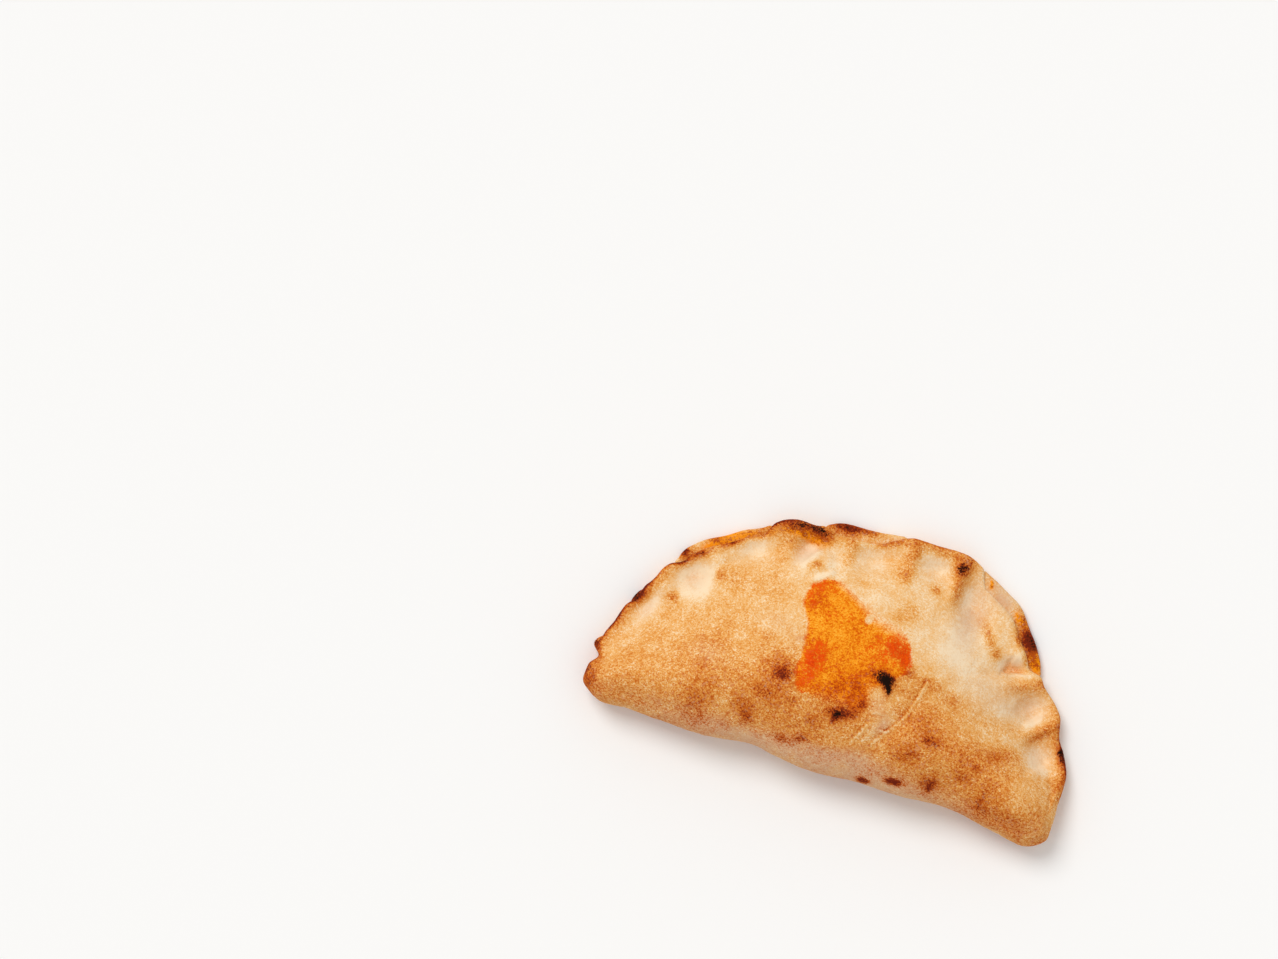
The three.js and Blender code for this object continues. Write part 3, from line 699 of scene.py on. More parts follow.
    # the blush's places: partly pale dough, partly painted shade in the hollows, pits and pinch grooves
    blushed: tuple[Oval, ...] = ovals(
        (-58, -20.6, 9, 6, 0, 0.35), (-35, 0.6, 9, 6, 0, 0.30), (-22.5, -2.5, 4, 4, 0, 0.35),
        (62, 2, 18, 11, -10, 0.45), (44, 30, 7.6, 16, 0, 0.80), (56, 42, 9, 4, -35, 0.7),
        (22, 46, 8, 5, 0, 0.20), (82, 0.6, 7, 6, 30, 0.40), (91, -17, 8, 7, 0, 0.36),
        (-74.8, 8.2, 4.8, 6.0, -30, 0.62), (-33.4, 34.4, 2.8, 4.8, -20, 0.62),
        (-89.8, -11.6, 2.2, 4.8, -26, 0.50), (68.6, 14.9, 4.0, 1.8, 12, 0.40),
        (100, -38, 5, 12, 0, 0.1), (20, -42, 14, 4, 0, 0.4), (18, -18, 4, 6, 0, 0.4),
        (23, -26, 8, 3.4, 62, 0.5), (0, -46, 22, 3.6, 0, 0.30))
    toasted_rim: tuple[Lobe, ...] = lobes(
        (177, 0.62, 6), (166, 0.66, 4.5), (155, 0.66, 5), (144, 0.60, 4), (130, 0.34, 8), (117, 0.50, 5),
        (101, 0.10, 6), (89, 0.34, 4), (78, 0.26, 7), (24, 0.20, 8), (8, 0.26, 6))
    stain_outline: tuple[tuple[float, float], ...] = (
        (-20, 26), (-22.8, 23.6), (-25.6, 21.2), (-26.8, 17.2), (-26.4, 13.4), (-24.4, 9),
        (-21.8, 5.2), (-20.5, 0.9), (-20.4, -10), (-20.6, -16), (-19, -20.5), (-16.6, -24),
        (-12, -23.5), (-4, -25), (4, -25), (12.6, -24), (13.4, -13), (17, -9.5), (22.4, -4.5),
        (26.6, -0.6), (25.6, 3.6), (23.6, 9), (21, 12.8), (17, 15.8), (11.4, 17), (6.5, 19),
        (2.4, 22), (-4, 25.2), (-8.6, 26), (-13.6, 26.2))
    stain_faded: tuple[Oval, ...] = ovals(
        (0, -27.6, 17, 6.4, 0, 0.95), (2.6, 15.0, 2.2, 1.5, 62, 0.95, 2.5), (13.6, -18, 3, 5, 0, 0.4),
        (4, 21.4, 14, 6.0, -32, 0.85), (27, -1, 3, 4, 20, 0.5), (-8, 26.6, 11, 3.8, -10, 0.75),
        (20, 16, 7, 4.0, -32, 0.6), (14, -13, 4, 3, 0, 0.4))

    def _stain_distance(self, x: np.ndarray, y: np.ndarray) -> np.ndarray:
        """Distance in from the stain's outline, negative outside it."""
        line = Crease((*self.stain_outline, self.stain_outline[0]), 0, 0, 1)
        distance, _ = line.distances(x, y)
        inside = np.zeros(x.shape, dtype=bool)
        for (ax, ay), (bx, by) in itertools.pairwise(line.points):
            crosses = (ay > y) != (by > y)
            at_x = ax + (bx - ax) * (y - ay) / (by - ay or 1)
            inside ^= crosses & (x < at_x)
        return np.where(inside, distance, -distance)

    def _fold_strip(self, spots: Spots) -> np.ndarray:
        """1 along the middle of the rounded fold, less towards its ends and its foot, 0 on top."""
        along = lerp(1, self.fold_end_share, smoothstep(np.abs(spots.x), *self.fold_ends))
        soft = self.fold_blush_soft
        return (along * smoothstep(self.fold_blush_y - spots.y, -soft, soft)
                * smoothstep(spots.z, *self.fold_blush_rise))

    def _browning(self, spots: Spots, lines: np.ndarray) -> np.ndarray:
        """How brown the dough is, from 0, pale, to 1, dark brown. The arguments are those of fields."""
        down = smoothstep(-spots.y, -self.pale_y, -self.brown_y)
        strip = self._fold_strip(spots)
        open_top = lerp(self.palest, self.brownest, down) - self.fold_pale * strip
        open_top += total(self.browned + self.pale, spots.x, spots.y)
        # painted light on the creases' ridges and painted shade in their grooves
        open_top -= self.crease_light_shade * np.clip(lines, -self.crease_light_shade_most, self.crease_light_shade_most)
        toast = bulge(self.toasted_rim, spots.bearing) * (1 - spots.foldness)
        open_top += toast * (bell(spots.from_rim, self.rim_depth)
                             + self.rim_halo * bell(spots.from_rim, self.rim_halo_depth))
        fold_side = spots.foldness * (1 - smoothstep(spots.z, *self.fold_side_top))
        points = np.column_stack([spots.x, spots.y, spots.z])
        blotch = DoughNoise(self.seed).octaves(points, self.blotch_size, 2)
        foot = 1 - smoothstep(spots.z, 0, self.foot_toast_height)
        open_top += fold_side * (self.blotch * blotch + self.foot_toast * foot)
        lower = self.side_browning + total(self.lower_browned, spots.x, spots.y)
        upper = lerp(open_top, lower, spots.lower * (1 - spots.foldness))
        under = self.under_browning + self.under_blotch * blotch
        return lerp(upper, under, spots.under)

    def fields(self, spots: Spots, lines: np.ndarray) -> dict[Mark, np.ndarray]:
        """Every field of marks.

        Args:
            spots: The vertices.
            lines: How high the creases stand at each.

        Returns:
            A number for each vertex, by mark.
        """
        raised = smoothstep(spots.z, *self.crown_rise)
        spots = replace(spots, x=spots.x + self.crown_shift[0] * raised,
                        y=spots.y + self.crown_shift[1] * raised)
        x, y = spots.x, spots.y
        upper = (1 - spots.lower) * (1 - spots.under)
        rim_lower = spots.lower * (1 - spots.under) * (1 - spots.foldness)
        stain = 0.5 + self._stain_distance(x, y) / (2 * self.stain_reach)
        oil = total(self.oiled, x, y) * rim_lower + total(self.upper_oiled, x, y) * upper
        blush = total(self.blushed, x, y) + self.fold_blush * self._fold_strip(spots)
        return {
            Mark.BROWNING: self._browning(spots, lines),
            Mark.CHAR: total(self.charred, x, y) * upper + total(self.lower_charred, x, y) * rim_lower,
            Mark.STAIN: np.clip(stain, 0, 1) * upper,
            Mark.SOAK: 1 - np.clip(total(self.stain_faded, x, y), 0, 1),
            Mark.TOMATO: np.clip(total(self.tomato, x, y), 0, 1) * upper,
            Mark.OIL: np.clip(oil, 0, 1),
            Mark.BLUSH: np.clip(blush, 0, 1) * (1 - spots.under),
        }


@dataclass(frozen=True)
class CrustRelief:
    """The fine form of the crust: unevenness, blisters, stretched creases and rough char."""

    swell: float = 0.34         # height of the broad unevenness
    swell_size: float = 15
    knobble: float = 0.13       # height of the small unevenness
    knobble_size: float = 4.6
    grain: float = 0.055        # height of the finest grain that the mesh holds
    grain_size: float = 1.9
    char_rise: float = 0.5      # how far a burnt bubble stands up
    char_rough: float = 0.35    # how uneven it is
    char_shift: float = 60      # takes that unevenness from another part of the noise
    edge_keep: float = 0.55     # share of the unevenness that the thin edge band has
    char_edge_loss: float = 0.7     # share of a burnt bubble that it lacks
    floor_clear: float = 2.5    # height over which all this comes in above the floor
    seed: int = 7

    stretched: tuple[Crease, ...] = (   # thin lines where the skin of the dough was pulled
        Crease(((33.8, -2.3), (32.7, -8.7), (30.4, -16.4), (28.1, -21.9), (25.4, -26.0),
                (21.0, -32.3), (19.3, -35.2)), 0.26, 0.22, 0.55),
        Crease(((15.4, -26.7), (13.8, -30.5), (11.7, -35.1), (10.6, -37.3)), 0.36, 0.28, 0.55),
        Crease(((18.6, -27.4), (17.2, -31.0), (15.4, -34.6)), 0.24, 0.18, 0.55),
        Crease(((24.6, -27.2), (23, -28.2), (21.4, -28.0)), 0.26, 0.18, 0.50),
        Crease(((16.0, -22.2), (17.2, -21.2), (19.4, -21.6)), 0.20, 0.14, 0.55),
        Crease(((19.4, -38.6), (17.8, -42.0), (16.6, -45.0)), 0.16, 0.14, 0.55),
        Crease(((-11.4, -36.0), (-11.8, -38.2), (-13.2, -40.0)), 0.12, 0.22, 0.5),
    )
    folds: tuple[Crease, ...] = (       # soft ridges beside the pinches
        Crease(((79.0, 15.4), (72.6, 13.4), (66.0, 11.6)), 0.8, 0.7, 1.1),
        Crease(((68.9, 21.4), (67.4, 17.4), (67.4, 13.8)), 0.25, 0.45, 0.9),
        Crease(((91.0, 2.2), (87.2, -1.6), (82.2, -5.8)), 0.5, 0.40, 1.5),
        Crease(((98.6, -17.0), (95.6, -22.0), (90.0, -25.4)), 0.35, 0.3, 1.8),
        Crease(((-27.4, 36.0), (-29.0, 33.0), (-33.0, 27.4)), 0.50, 0.4, 1.3),
        Crease(((-19.4, 29.4), (-21.4, 27.0), (-26.8, 23.6)), 0.42, 0.3, 1.2),
        Crease(((-64.6, 9.0), (-66.4, 3.0), (-72.4, -2.4)), 0.35, 0.3, 1.6),
        Crease(((48.4, 46.8), (51.4, 40.4), (57.6, 37.4), (62.6, 34.4)), 0.3, 0.0, 1.0),
    )

    def lines(self, points: np.ndarray, edge: np.ndarray) -> np.ndarray:
        """How high the stretched lines stand at points. The arguments are those of heights."""
        return total(self.stretched, points[:, 0], points[:, 1]) * (1 - edge)

    def heights(self, points: np.ndarray, char: np.ndarray, edge: np.ndarray,
                under: np.ndarray) -> np.ndarray:
        """How far each vertex moves out along its normal.

        Args:
            points: The vertices.
            char: The char field at each.
            edge: 1 on the thin edge band, 0 on the open top.
            under: 1 on the underside.

        Returns:
            The distances.
        """
        noise = DoughNoise(self.seed)
        uneven = (self.swell * noise.octaves(points, self.swell_size, 2)
                  + self.knobble * noise.octaves(points, self.knobble_size, 2)
                  + self.grain * noise.at(points, self.grain_size))
        burnt = np.clip(char, 0, 1)
        rough = self.char_rough * noise.octaves(
            points + self.char_shift, self.knobble_size / 2, 3)
        bubble = burnt * (self.char_rise + rough) * (1 - self.char_edge_loss * edge)
        folds = total(self.folds, points[:, 0], points[:, 1]) * (1 - edge)
        clear = smoothstep(points[:, 2], 0, self.floor_clear) * (1 - under)
        return clear * (uneven * lerp(1, self.edge_keep, edge) + bubble
                        + folds + self.lines(points, edge))


# ---- Finishes ----

def paint(code: str) -> tuple[float, float, float, float]:
    """A screen colour, such as "e9b172", as the linear colour that a shader takes."""
    shares = (int(code[i:i + 2], 16) / 255 for i in (0, 2, 4))
    linear = (s / 12.92 if s <= 0.04045 else ((s + 0.055) / 1.055) ** 2.4 for s in shares)
    return (*linear, 1.0)


class Wire:
    """A value, colour or vector on its way between two nodes of a finish."""

    def __init__(self, tree: "FinishTree", socket: bpy.types.NodeSocket) -> None:
        """Holds an output socket.

        Args:
            tree: The finish's node tree.
            socket: The output.
        """
        self.tree = tree
        self.socket = socket

    def _maths(self, operation: str, first: "Wire | float", second: "Wire | float") -> "Wire":
        """A Math node on two values."""
        return self.tree.add("ShaderNodeMath", {"operation": operation}, {0: first, 1: second})

    def __add__(self, other: "Wire | float") -> "Wire":
        """This plus the other."""
        return self._maths("ADD", self, other)

    def __radd__(self, other: float) -> "Wire":
        """The other plus this."""
        return self._maths("ADD", other, self)

    def __sub__(self, other: "Wire | float") -> "Wire":
        """This less the other."""
        return self._maths("SUBTRACT", self, other)

    def __rsub__(self, other: float) -> "Wire":
        """The other less this."""
        return self._maths("SUBTRACT", other, self)

    def __mul__(self, other: "Wire | float") -> "Wire":
        """This times the other."""
        return self._maths("MULTIPLY", self, other)

    def __rmul__(self, other: float) -> "Wire":
        """The other times this."""
        return self._maths("MULTIPLY", other, self)

    def ease(self, low: float, high: float) -> "Wire":
        """0 below low, 1 above high and an ease in between."""
        return self.tree.add(
            "ShaderNodeMapRange", {"interpolation_type": "SMOOTHSTEP"},
            {"Value": self, "From Min": low, "From Max": high})


NodeValue = Wire | float | Sequence[float]
MIX_SHARE, MIX_FIRST, MIX_SECOND, MIX_RESULT = 0, 6, 7, 2   # places of a colour Mix node's sockets


class FinishTree:
    """The node tree of one finish."""

    def __init__(self, name: str) -> None:
        """Starts an empty material.

        Args:
            name: The material's name.
        """
        self.material = bpy.data.materials.new(name)
        self.material.use_nodes = True
        self.nodes = self.material.node_tree.nodes
        self.links = self.material.node_tree.links
        self.nodes.clear()

    def add(self, kind: str, settings: Mapping[str, object] | None = None,
            sockets: Mapping[str | int, NodeValue] | None = None, out: str | int = 0) -> Wire:
        """Adds a node.

        Args:
            kind: The node's type.
            settings: What is set on the node itself, or "stops" for a ramp's stops.
            sockets: The value or wire of each input, by name or place.
            out: The output that goes on.

        Returns:
            That output.
        """
        node = self.nodes.new(kind)
        for name, value in (settings or {}).items():
            if name == "stops":
                self._set_stops(node.color_ramp, value)
            else:
                setattr(node, name, value)
        for name, value in (sockets or {}).items():
            if isinstance(value, Wire):
                self.links.new(value.socket, node.inputs[name])
            else:
                node.inputs[name].default_value = value
        return Wire(self, node.outputs[out] if len(node.outputs) else None)

    @staticmethod
    def _set_stops(ramp: bpy.types.ColorRamp, stops: Sequence[tuple[float, str]]) -> None:
        """Gives a ramp its stops, each a place and a screen colour."""
        while len(ramp.elements) < len(stops):
            ramp.elements.new(1.0)
        for element, (place, code) in zip(ramp.elements, stops):
            element.position = place
            element.color = paint(code)

    def blend(self, share: NodeValue, first: NodeValue, second: NodeValue) -> Wire:
        """Mixes two colours.

        Args:
            share: How much of the second.
            first: The colour, or its wire, at share 0.
            second: The colour, or its wire, at share 1.

        Returns:
            The mixed colour.
        """
        inputs = {MIX_SHARE: share, MIX_FIRST: first, MIX_SECOND: second}
        return self.add("ShaderNodeMix", {"data_type": "RGBA"}, inputs, out=MIX_RESULT)

    def noise(self, place: Wire, size: float, detail: float, rough: float) -> Wire:
        """Noise about 0, from -0.5 to 0.5.

        Args:
            place: Where, in metres.
            size: The size of its grains in millimetres.
            detail: Octaves of finer noise.
            rough: How strong the finer ones are.

        Returns:
            The noise.
        """
        scale = 1 / (size * MM)
        values = {"Vector": place, "Scale": scale, "Detail": detail, "Roughness": rough}
        return self.add("ShaderNodeTexNoise", None, values) - 0.5

    def specks(self, place: Wire, size: float) -> Wire:
        """Separate specks, each as light or dark as chance has it, from -0.5 to 0.5.

        Args:
            place: Where, in metres.
            size: The size of a speck in millimetres.

        Returns:
            The specks.
        """
        cells = self.add("ShaderNodeTexVoronoi", {"feature": "F1"},
                         {"Vector": place, "Scale": 1 / (size * MM)}, out="Color")
        return self.add("ShaderNodeSeparateColor", None, {"Color": cells}, out="Red") - 0.5

    def finish(self, shader: Wire) -> bpy.types.Material:
        """Ends the tree in a shader and returns the material."""
        self.add("ShaderNodeOutputMaterial", None, {"Surface": shader})
        return self.material


@dataclass(frozen=True)
class Grain:
    """The make of a noise: its grains' size in millimetres, its octaves and how strong they are."""

    size: float
    detail: float
    rough: float


@dataclass(frozen=True)
class Noises:
    """The noises of the crust, from broad patches to fine specks. Stipple mixes the fine ones."""

    patch: Wire
    mottle: Wire
    grain: Wire
    dust: Wire
    speck: Wire
    glint: Wire
    stipple: Wire


@dataclass(frozen=True)
class Stir:
    """How much of each noise is stirred into a value."""

    patch: float = 0.0
    mottle: float = 0.0
    grain: float = 0.0
    dust: float = 0.0
    speck: float = 0.0
    stipple: float = 0.0

    def into(self, value: Wire | float, noises: Noises) -> Wire:
        """The value with its share of each noise added."""
        for name, share in vars(self).items():
            if share:
                value = value + getattr(noises, name) * share
        return value


@dataclass(frozen=True)
class BakedCrust:
    """The finish of the baked dough, driven by the fields of marks."""

    name: str = "baked_crust"
    browning_ramp: tuple[tuple[float, str], ...] = (
        (0.00, "f3dab6"), (0.14, "ecbe84"), (0.28, "e5a456"), (0.42, "d88a3c"), (0.56, "cc7026"),
        (0.70, "be5a18"), (0.86, "a03c12"), (1.00, "702412"))
    stain_ramp: tuple[tuple[float, str], ...] = (
        (0.16, "f8b43e"), (0.32, "f6a22a"), (0.44, "f09018"), (0.54, "e47a0a"), (0.64, "d46208"),
        (0.76, "b84608"), (0.90, "802a0e"))
    tomato_red: str = "cc2806"
    tomato_bright: str = "ee5606"
    # the blush's greyish pink, partly pale dough and partly painted shade
    blush: str = "d0b4a0"
    oil: str = "f69606"
    oil_deep: str = "b04c08"
    char: str = "1c100a"
    char_brown: str = "6e2812"
    grain_light: str = "eab684"
    roughness: float = 0.80
    rough_grain: float = 0.12       # unevenness of the roughness
    stain_roughness: float = 0.55
    oil_roughness: float = 0.25
    oil_gloss: float = 0.12
    specular: float = 0.02
    bumps: Stir = Stir(grain=0.18, dust=0.08, mottle=0.10)  # heights in millimetres
    wet_bumps: float = 0.22         # extra height of the grain in the stain

    patch: Grain = Grain(9, 4, 0.55)
    mottle: Grain = Grain(3.4, 3, 0.6)
    grain: Grain = Grain(1.1, 2, 0.6)
    dust: Grain = Grain(0.50, 1, 0.5)
    speck_size: float = 0.50
    glint_size: float = 0.80
    stipple_glint: float = 0.45     # shares of the glint and the grain in the stipple
    stipple_grain: float = 0.60

    cover: Stir = Stir(patch=0.34, mottle=0.06)
    char_toast: float = 0.42        # extra browning round a burnt place
    brown_mottle: float = 0.55      # extra mottle where the dough is brown
    pale_stipple: float = 0.09
    brown_stipple: float = 0.36     # extra stipple where it is brown
    stipple_rise: Span = (0.0, 0.5)     # browning over which that comes in
    blush_stir: Stir = Stir(patch=1.8, mottle=0.9)
    blush_share: float = 0.50
    blush_gone: Span = (0.36, 0.70)     # browning over which the blush goes

    wet: Stir = Stir(patch=0.30, mottle=0.26, speck=0.06)
    wet_edge: Span = (0.40, 0.60)
    soak: Stir = Stir(mottle=0.5, stipple=0.12)
    soak_edge: Span = (0.05, 0.85)
    tone: Stir = Stir(patch=0.36, mottle=0.32, stipple=0.30)
    tone_cover: float = 0.62        # how much the dough's browning darkens the stain
    tone_least: float = 0.35
    red: Stir = Stir(patch=0.8, mottle=1.7, stipple=0.50)
    red_edge: Span = (0.08, 1.08)
    red_share: float = 0.95
    bright: Stir = Stir(mottle=1.4, stipple=0.8)
    bright_share: float = 0.40      # share of the brighter red in the tomato
    oiled: Stir = Stir(mottle=1.1, grain=0.3)
    oiled_edge: Span = (0.15, 0.85)
    amber: Stir = Stir(mottle=1.3, stipple=0.5)
    amber_edge: Span = (0.22, 0.80)     # browning over which the oil gets deeper

    light_edge: Span = (0.28, 0.46)     # glint over which a light grain shows
    light_rise: Span = (0.15, 0.6)      # browning over which such grains come in
    light_blush: float = 0.3        # what the blush counts for as browning there
    light_gone: Span = (0.60, 0.95)     # browning over which they go
    light_share: float = 0.38
    light_wet: float = 0.7          # how far the stain hides them
    burning: Stir = Stir(mottle=1.3, stipple=0.42)
    scorched_edge: Span = (0.45, 0.95)
    scorched_share: float = 0.85
    burnt_edge: Span = (0.72, 1.12)

    def _noises(self, tree: FinishTree, place: Wire) -> Noises:
        """Adds the noises.

        Args:
            tree: The finish's node tree.
            place: Where, in metres.

        Returns:
            The noises.
        """
        patch, mottle, grain, dust = (
            tree.noise(place, make.size, make.detail, make.rough)
            for make in (self.patch, self.mottle, self.grain, self.dust))
        speck, glint = (tree.specks(place, size) for size in (self.speck_size, self.glint_size))
        stipple = speck + glint * self.stipple_glint + grain * self.stipple_grain
        return Noises(patch, mottle, grain, dust, speck, glint, stipple)

    def material(self) -> bpy.types.Material:
        """Builds the finish.

        Returns:
            The material.
        """
        tree = FinishTree(self.name)
        place = tree.add("ShaderNodeTexCoord", out="Object")
        mark = {m: tree.add("ShaderNodeAttribute", {"attribute_name": m.value}, out="Fac")
                for m in Mark}
        rawness, scorch = mark[Mark.BROWNING], mark[Mark.CHAR]
        noises = self._noises(tree, place)

        # the baked dough, with a greyish-pink blush in places: partly pale dough, partly painted shade in
        # hollows, pits and on the fold's lower side
        cover = self.cover.into(rawness + scorch * self.char_toast, noises)
        cover = cover + noises.mottle * rawness * self.brown_mottle
        stippled = rawness.ease(*self.stipple_rise) * self.brown_stipple + self.pale_stipple
        brown = cover + noises.stipple * stippled
        crust = tree.add("ShaderNodeValToRGB", {"stops": self.browning_ramp}, {"Fac": brown})
        blush_cast = (mark[Mark.BLUSH] * self.blush_stir.into(1, noises)).ease(0, 1)
        blush_cast = blush_cast * self.blush_share * (1 - brown.ease(*self.blush_gone))
        crust = tree.blend(blush_cast, crust, paint(self.blush))

        # the sauce that has soaked through
        stained = (self.wet.into(mark[Mark.STAIN], noises).ease(*self.wet_edge)
                   * self.soak.into(mark[Mark.SOAK], noises).ease(*self.soak_edge))
        tone = self.tone.into(cover * self.tone_cover + self.tone_least, noises)
        sauce = tree.add("ShaderNodeValToRGB", {"stops": self.stain_ramp}, {"Fac": tone})
        tomato = tree.blend(self.bright.into(self.bright_share, noises).ease(0, 1),
                            paint(self.tomato_red), paint(self.tomato_bright))
        red = self.red.into(mark[Mark.TOMATO], noises).ease(*self.red_edge)
        sauce = tree.blend(red * self.red_share, sauce, tomato)
        crust = tree.blend(stained, crust, sauce)

        # the oil at the rim
        oiled = self.oiled.into(mark[Mark.OIL], noises).ease(*self.oiled_edge)
        amber = tree.blend(self.amber.into(cover, noises).ease(*self.amber_edge),
                           paint(self.oil), paint(self.oil_deep))
        crust = tree.blend(oiled, crust, amber)

        # light grains, and char over all
        browned = (rawness + mark[Mark.BLUSH] * self.light_blush).ease(*self.light_rise)
        light = noises.glint.ease(*self.light_edge) * browned * self.light_share
        light = light * (1 - cover.ease(*self.light_gone)) * (1 - stained * self.light_wet)
        crust = tree.blend(light, crust, paint(self.grain_light))
        burning = self.burning.into(scorch, noises)
        scorched = burning.ease(*self.scorched_edge) * self.scorched_share
        crust = tree.blend(scorched, crust, paint(self.char_brown))
        crust = tree.blend(burning.ease(*self.burnt_edge), crust, paint(self.char))

        rough = self.roughness - stained * (self.roughness - self.stain_roughness)
        rough = rough + noises.grain * self.rough_grain
        height = self.bumps.into(stained * noises.grain * self.wet_bumps, noises)
        bump = tree.add("ShaderNodeBump", None, {"Strength": 1.0, "Distance": MM, "Height": height},
                        out="Normal")
        return tree.finish(tree.add("ShaderNodeBsdfPrincipled", None, {
            "Base Color": crust, "Roughness": rough, "Normal": bump,
            "Coat Weight": oiled * self.oil_gloss, "Coat Roughness": self.oil_roughness,
            "Specular IOR Level": self.specular}))


@dataclass(frozen=True)
class PaleFloor:
    """The plain pale floor."""

    name: str = "pale_floor"
    colour: str = "f7f6f4"
    roughness: float = 0.9
    specular: float = 0.1

    def material(self) -> bpy.types.Material:
        """Builds the finish.

        Returns:
            The material.
        """
        tree = FinishTree(self.name)
        return tree.finish(tree.add("ShaderNodeBsdfPrincipled", None, {
            "Base Color": paint(self.colour), "Roughness": self.roughness,
            "Specular IOR Level": self.specular}))


# ---- The pieces ----

def put(name: str, data: bpy.types.ID) -> bpy.types.Object:
    """Adds an object to the scene."""
    added = bpy.data.objects.new(name, data)
    bpy.context.collection.objects.link(added)
    return added


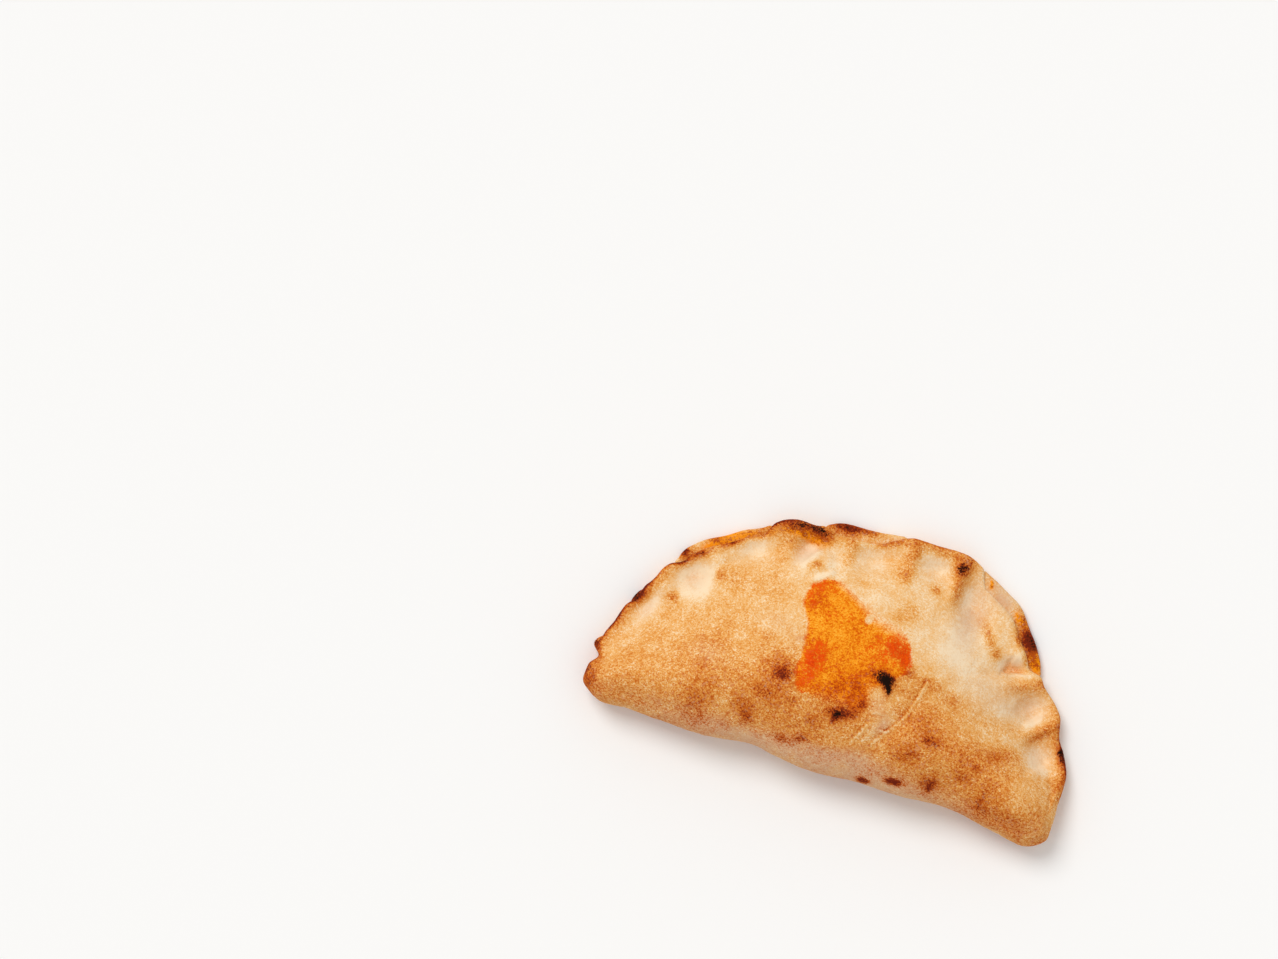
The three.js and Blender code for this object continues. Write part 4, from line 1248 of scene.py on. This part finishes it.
@dataclass
class Calzone:
    """The whole calzone: its mesh, its marks and its crust."""

    name: str = "baked_calzone"
    node: str = "calzone"
    body: str = "root"
    slot: str = "crust"
    across: int = 320           # cells along the fold
    up: int = 234               # cells from the fold to the rim
    crowding: float = 1.12      # above 1 the cells are smaller towards the edge
    levels: tuple[float, ...] = (   # levels of the edge's profile that have a ring of vertices
        0.6, 1.2, 1.8, 2.4, 3.1, 4.0, 4.2, 4.4, 4.6, 4.8, 5.0, 5.6, 6.6, 8.0)
    under_rings: tuple[float, ...] = (0.985, 0.955, 0.90, 0.78, 0.5)    # shares of the way out
    underness: tuple[float, ...] = (0.3, 0.8, 1.0, 1.0, 1.0)    # how far each ring is underside
    lower_from: Span = (3.4, 4.1)   # levels over which the lower layer starts
    band_fade: Span = (0.5, 5.0)    # distances in from the rim over which its thin band ends
    least_lean: float = 0.3     # keeps distances to the rim sensible where a ray grazes it
    form: DoughForm = field(default_factory=DoughForm)
    relief: CrustRelief = field(default_factory=CrustRelief)
    marks: OvenMarks = field(default_factory=OvenMarks)
    finish: BakedCrust = field(default_factory=BakedCrust)

    def _grid(self) -> tuple[np.ndarray, np.ndarray]:
        """The unit square's points that the top is made from, row by row."""
        x, y = np.meshgrid(np.linspace(-1, 1, self.across + 1), np.linspace(-1, 1, self.up + 1))
        return x.ravel(), y.ravel()

    def _index(self) -> np.ndarray:
        """Indices of the grid's points, row by row from the fold to the rim."""
        return np.arange((self.across + 1) * (self.up + 1)).reshape(self.up + 1, -1)

    def _border(self) -> np.ndarray:
        """Indices of the grid's border points, anticlockwise from its lower left corner."""
        index = self._index()
        return np.concatenate([
            index[0, :-1], index[:-1, -1], index[-1, :0:-1], index[:0:-1, 0]])

    def _triangles(self, plan: np.ndarray, rings: int) -> np.ndarray:
        """All triangles, pointing out.

        Args:
            plan: The x and y of the top's points.
            rings: How many rings of border points lie below the top.

        Returns:
            Rows of three vertex indices.
        """
        index = self._index()
        a, b = index[:-1, :-1].ravel(), index[:-1, 1:].ravel()
        c, d = index[1:, 1:].ravel(), index[1:, :-1].ravel()

        def area(i: np.ndarray, j: np.ndarray, k: np.ndarray) -> np.ndarray:
            """Plan areas of triangles of the top's points."""
            first, second = plan[j] - plan[i], plan[k] - plan[i]
            return first[:, 0] * second[:, 1] - first[:, 1] * second[:, 0]

        evener = np.minimum(area(a, b, c), area(a, c, d)) > np.minimum(area(a, b, d), area(b, c, d))
        parts = [
            np.where(evener[:, None], np.column_stack([a, b, c]), np.column_stack([a, b, d])),
            np.where(evener[:, None], np.column_stack([a, c, d]), np.column_stack([b, c, d]))]
        border = self._border()
        outer = border
        for ring in range(rings):
            inner = index.size + ring * len(border) + np.arange(len(border))
            ahead, below_ahead = np.roll(outer, -1), np.roll(inner, -1)
            parts += [np.column_stack([outer, inner, below_ahead]),
                      np.column_stack([outer, below_ahead, ahead])]
            outer = inner
        centre = np.full(len(border), index.size + rings * len(border))
        parts.append(np.column_stack([outer, centre, np.roll(outer, -1)]))
        return np.concatenate(parts)

    def _surface(self) -> tuple[np.ndarray, np.ndarray, Spots, np.ndarray]:
        """The plain surface.

        Returns:
            The vertices, the triangles, what the marks need of each vertex, and how far each
            is part of the thin edge band.
        """
        grid_x, grid_y = self._grid()
        ring = np.maximum(np.abs(grid_x), np.abs(grid_y))
        safe = np.where(ring > 0, ring, 1)
        edge = self.form.edge_at(np.where(ring > 0, grid_x / safe, 1.0), grid_y / safe)
        reach = 1 - (1 - ring) ** self.crowding
        top = self.form.top(edge, reach)
        rim = edge.take(self._border())
        sides = [self.form.side(rim, level) for level in self.levels]
        unders = [self.form.underside(rim, share) for share in self.under_rings]
        centre = np.array([[*self.form.middle, 0.0]])
        points = np.concatenate([top, *sides, *unders, centre])
        faces = self._triangles(top[:, :2], len(sides) + len(unders))
        spots, thin = self._spots(points, edge, rim, reach)
        return points, faces, spots, thin

    def _spots(self, points: np.ndarray, edge: Edge, rim: Edge,
               reach: np.ndarray) -> tuple[Spots, np.ndarray]:
        """What the marks need of each vertex.

        Args:
            points: The vertices: those of the top, of each ring below it, and the last one in
                the middle of the underside.
            edge: The outline points that the top's vertices lie towards.
            rim: The outline points that each ring lies along.
            reach: Each of the top's vertices' share of the way out to the edge band.

        Returns:
            The spots, and how far each vertex is part of the thin edge band.
        """
        on_top, on_ring = len(edge.x), len(rim.x)
        on_sides = len(self.levels) * on_ring
        on_under = len(self.under_rings) * on_ring + 1
        rings = len(self.levels) + len(self.under_rings)
        outward = self.form.band_points(edge, 0)[:, :2] - np.array(self.form.middle)
        length = np.linalg.norm(outward, axis=1)
        lean = np.sum(outward * edge.normal, axis=1) / length
        inward = (1 - reach) * length * np.maximum(self.least_lean, lean)
        start_inset = self.form.lip_round * (1 - edge.foldness)
        insets = [self.form.own_inset(rim, level) for level in self.levels]
        lowness = smoothstep(np.array(self.levels), *self.lower_from)
        spots = Spots(
            x=points[:, 0], y=points[:, 1], z=points[:, 2],
            from_rim=np.concatenate([start_inset + inward, *insets, np.zeros(on_under)]),
            bearing=np.concatenate([edge.bearing, np.tile(rim.bearing, rings), [90.0]]),
            foldness=np.concatenate([edge.foldness, np.tile(rim.foldness, rings), [0.0]]),
            lower=np.concatenate([
                np.zeros(on_top), np.repeat(lowness, on_ring), np.ones(on_under)]),
            under=np.concatenate([
                np.zeros(on_top + on_sides), np.repeat(self.underness, on_ring), [1.0]]))
        band = np.concatenate([
            1 - smoothstep(inward, *self.band_fade), np.ones(on_sides + on_under)])
        return spots, band * (1 - spots.foldness)

    def build(self) -> bpy.types.Object:
        """Builds the calzone, in place over its solid.

        Returns:
            The object.
        """
        points, faces, spots, thin = self._surface()
        fields = self.marks.fields(spots, self.relief.lines(points, thin))
        mesh = bpy.data.meshes.new(self.name)
        mesh.from_pydata(points.tolist(), [], faces.tolist())
        normals = np.empty(len(points) * 3)
        mesh.vertex_normals.foreach_get("vector", normals)
        rise = self.relief.heights(points, fields[Mark.CHAR], thin, spots.under)
        shift = self._shift(points)
        points = points + normals.reshape(-1, 3) * rise[:, None]
        points[:, 2] = np.maximum(0, points[:, 2])
        mesh.vertices.foreach_set("co", ((points + shift) * MM).ravel())
        mesh.shade_smooth()
        for mark, values in fields.items():
            attribute = mesh.attributes.new(mark.value, "FLOAT", "POINT")
            attribute.data.foreach_set("value", values.astype(np.float32))
        mesh.update()
        mesh.validate()
        mesh.materials.append(self.finish.material())
        return put(self.name, mesh)

    def _shift(self, points: np.ndarray) -> np.ndarray:
        """The move, in millimetres, that puts the plain form where its solid is."""
        low, high = (np.array(corner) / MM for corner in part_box(self.node))
        own_middle = (points.min(axis=0) + points.max(axis=0)) / 2
        move = (low + high) / 2 - own_middle
        move[2] = low[2] - points[:, 2].min()
        return move

    def place(self) -> bpy.types.Object:
        """Builds the calzone, attaches it to its body and hides the solid that it replaces.

        Returns:
            The object.
        """
        calzone = self.build()
        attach(calzone, self.body)
        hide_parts(self.node)
        log.info("%s: %d triangles", calzone.name, len(calzone.data.polygons))
        return calzone


@dataclass
class Studio:
    """The pale floor, the soft light and the camera, sizes in metres."""

    floor_half: float = 3.0             # from its middle to its edge
    camera_height: float = 3.2
    look_at: tuple[float, float] = (-0.1110, 0.0401)
    camera_turn: float = 19.0           # degrees that the fold lies turned in the view
    view_width: float = 0.5514          # seen at the height of the rim
    rim_height: float = 0.010
    sight: float = 20.0                 # how far the camera sees
    sensor: float = 36.0                # millimetres
    key_strength: float = 1.50
    key_softness: float = 28.0          # degrees that the light source spans
    key_direction: tuple[float, float, float] = (-0.62, 0.50, 1.15)     # towards the light
    sky_strength: float = 0.64
    sky: tuple[float, float, float] = (1.0, 1.0, 1.0)
    floor_finish: PaleFloor = field(default_factory=PaleFloor)

    def floor(self) -> bpy.types.Object:
        """Builds the floor.

        Returns:
            The floor.
        """
        h = self.floor_half
        mesh = bpy.data.meshes.new("floor")
        mesh.from_pydata([(-h, -h, 0), (h, -h, 0), (h, h, 0), (-h, h, 0)], [], [(0, 1, 2, 3)])
        mesh.materials.append(self.floor_finish.material())
        floor = put("floor", mesh)
        return floor

    def light(self) -> bpy.types.Object:
        """Lights the floor from one soft side and from all round.

        Returns:
            The key light.
        """
        sun = bpy.data.lights.new("key_light", "SUN")
        sun.energy = self.key_strength
        sun.angle = math.radians(self.key_softness)
        key = put("key_light", sun)
        key.rotation_euler = Vector(self.key_direction).to_track_quat("Z", "Y").to_euler()
        world = bpy.data.worlds.new("pale_room")
        world.use_nodes = True
        background = world.node_tree.nodes["Background"]
        background.inputs["Color"].default_value = (*self.sky, 1.0)
        background.inputs["Strength"].default_value = self.sky_strength
        bpy.context.scene.world = world
        return key

    def camera(self) -> bpy.types.Object:
        """Looks straight down from far above.

        Returns:
            The camera.
        """
        lens = bpy.data.cameras.new("camera")
        lens.sensor_width = self.sensor
        lens.lens = self.sensor * (self.camera_height - self.rim_height) / self.view_width
        lens.clip_end = self.sight
        camera = put("camera", lens)
        camera.location = (*self.look_at, self.camera_height)
        camera.rotation_euler = (0.0, 0.0, math.radians(self.camera_turn))
        bpy.context.scene.camera = camera
        return camera

    def build(self) -> None:
        """Builds the whole studio, and shows colours as they are."""
        bpy.context.scene.view_settings.view_transform = "Standard"
        for piece in (self.camera(), self.light(), self.floor()):
            log.info("studio: %s", piece.name)


def main() -> None:
    """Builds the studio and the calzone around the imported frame."""
    logging.basicConfig(level=logging.INFO, format="%(name)s: %(message)s")
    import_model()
    Studio().build()
    Calzone().place()


if __name__ == "__main__":
    main()
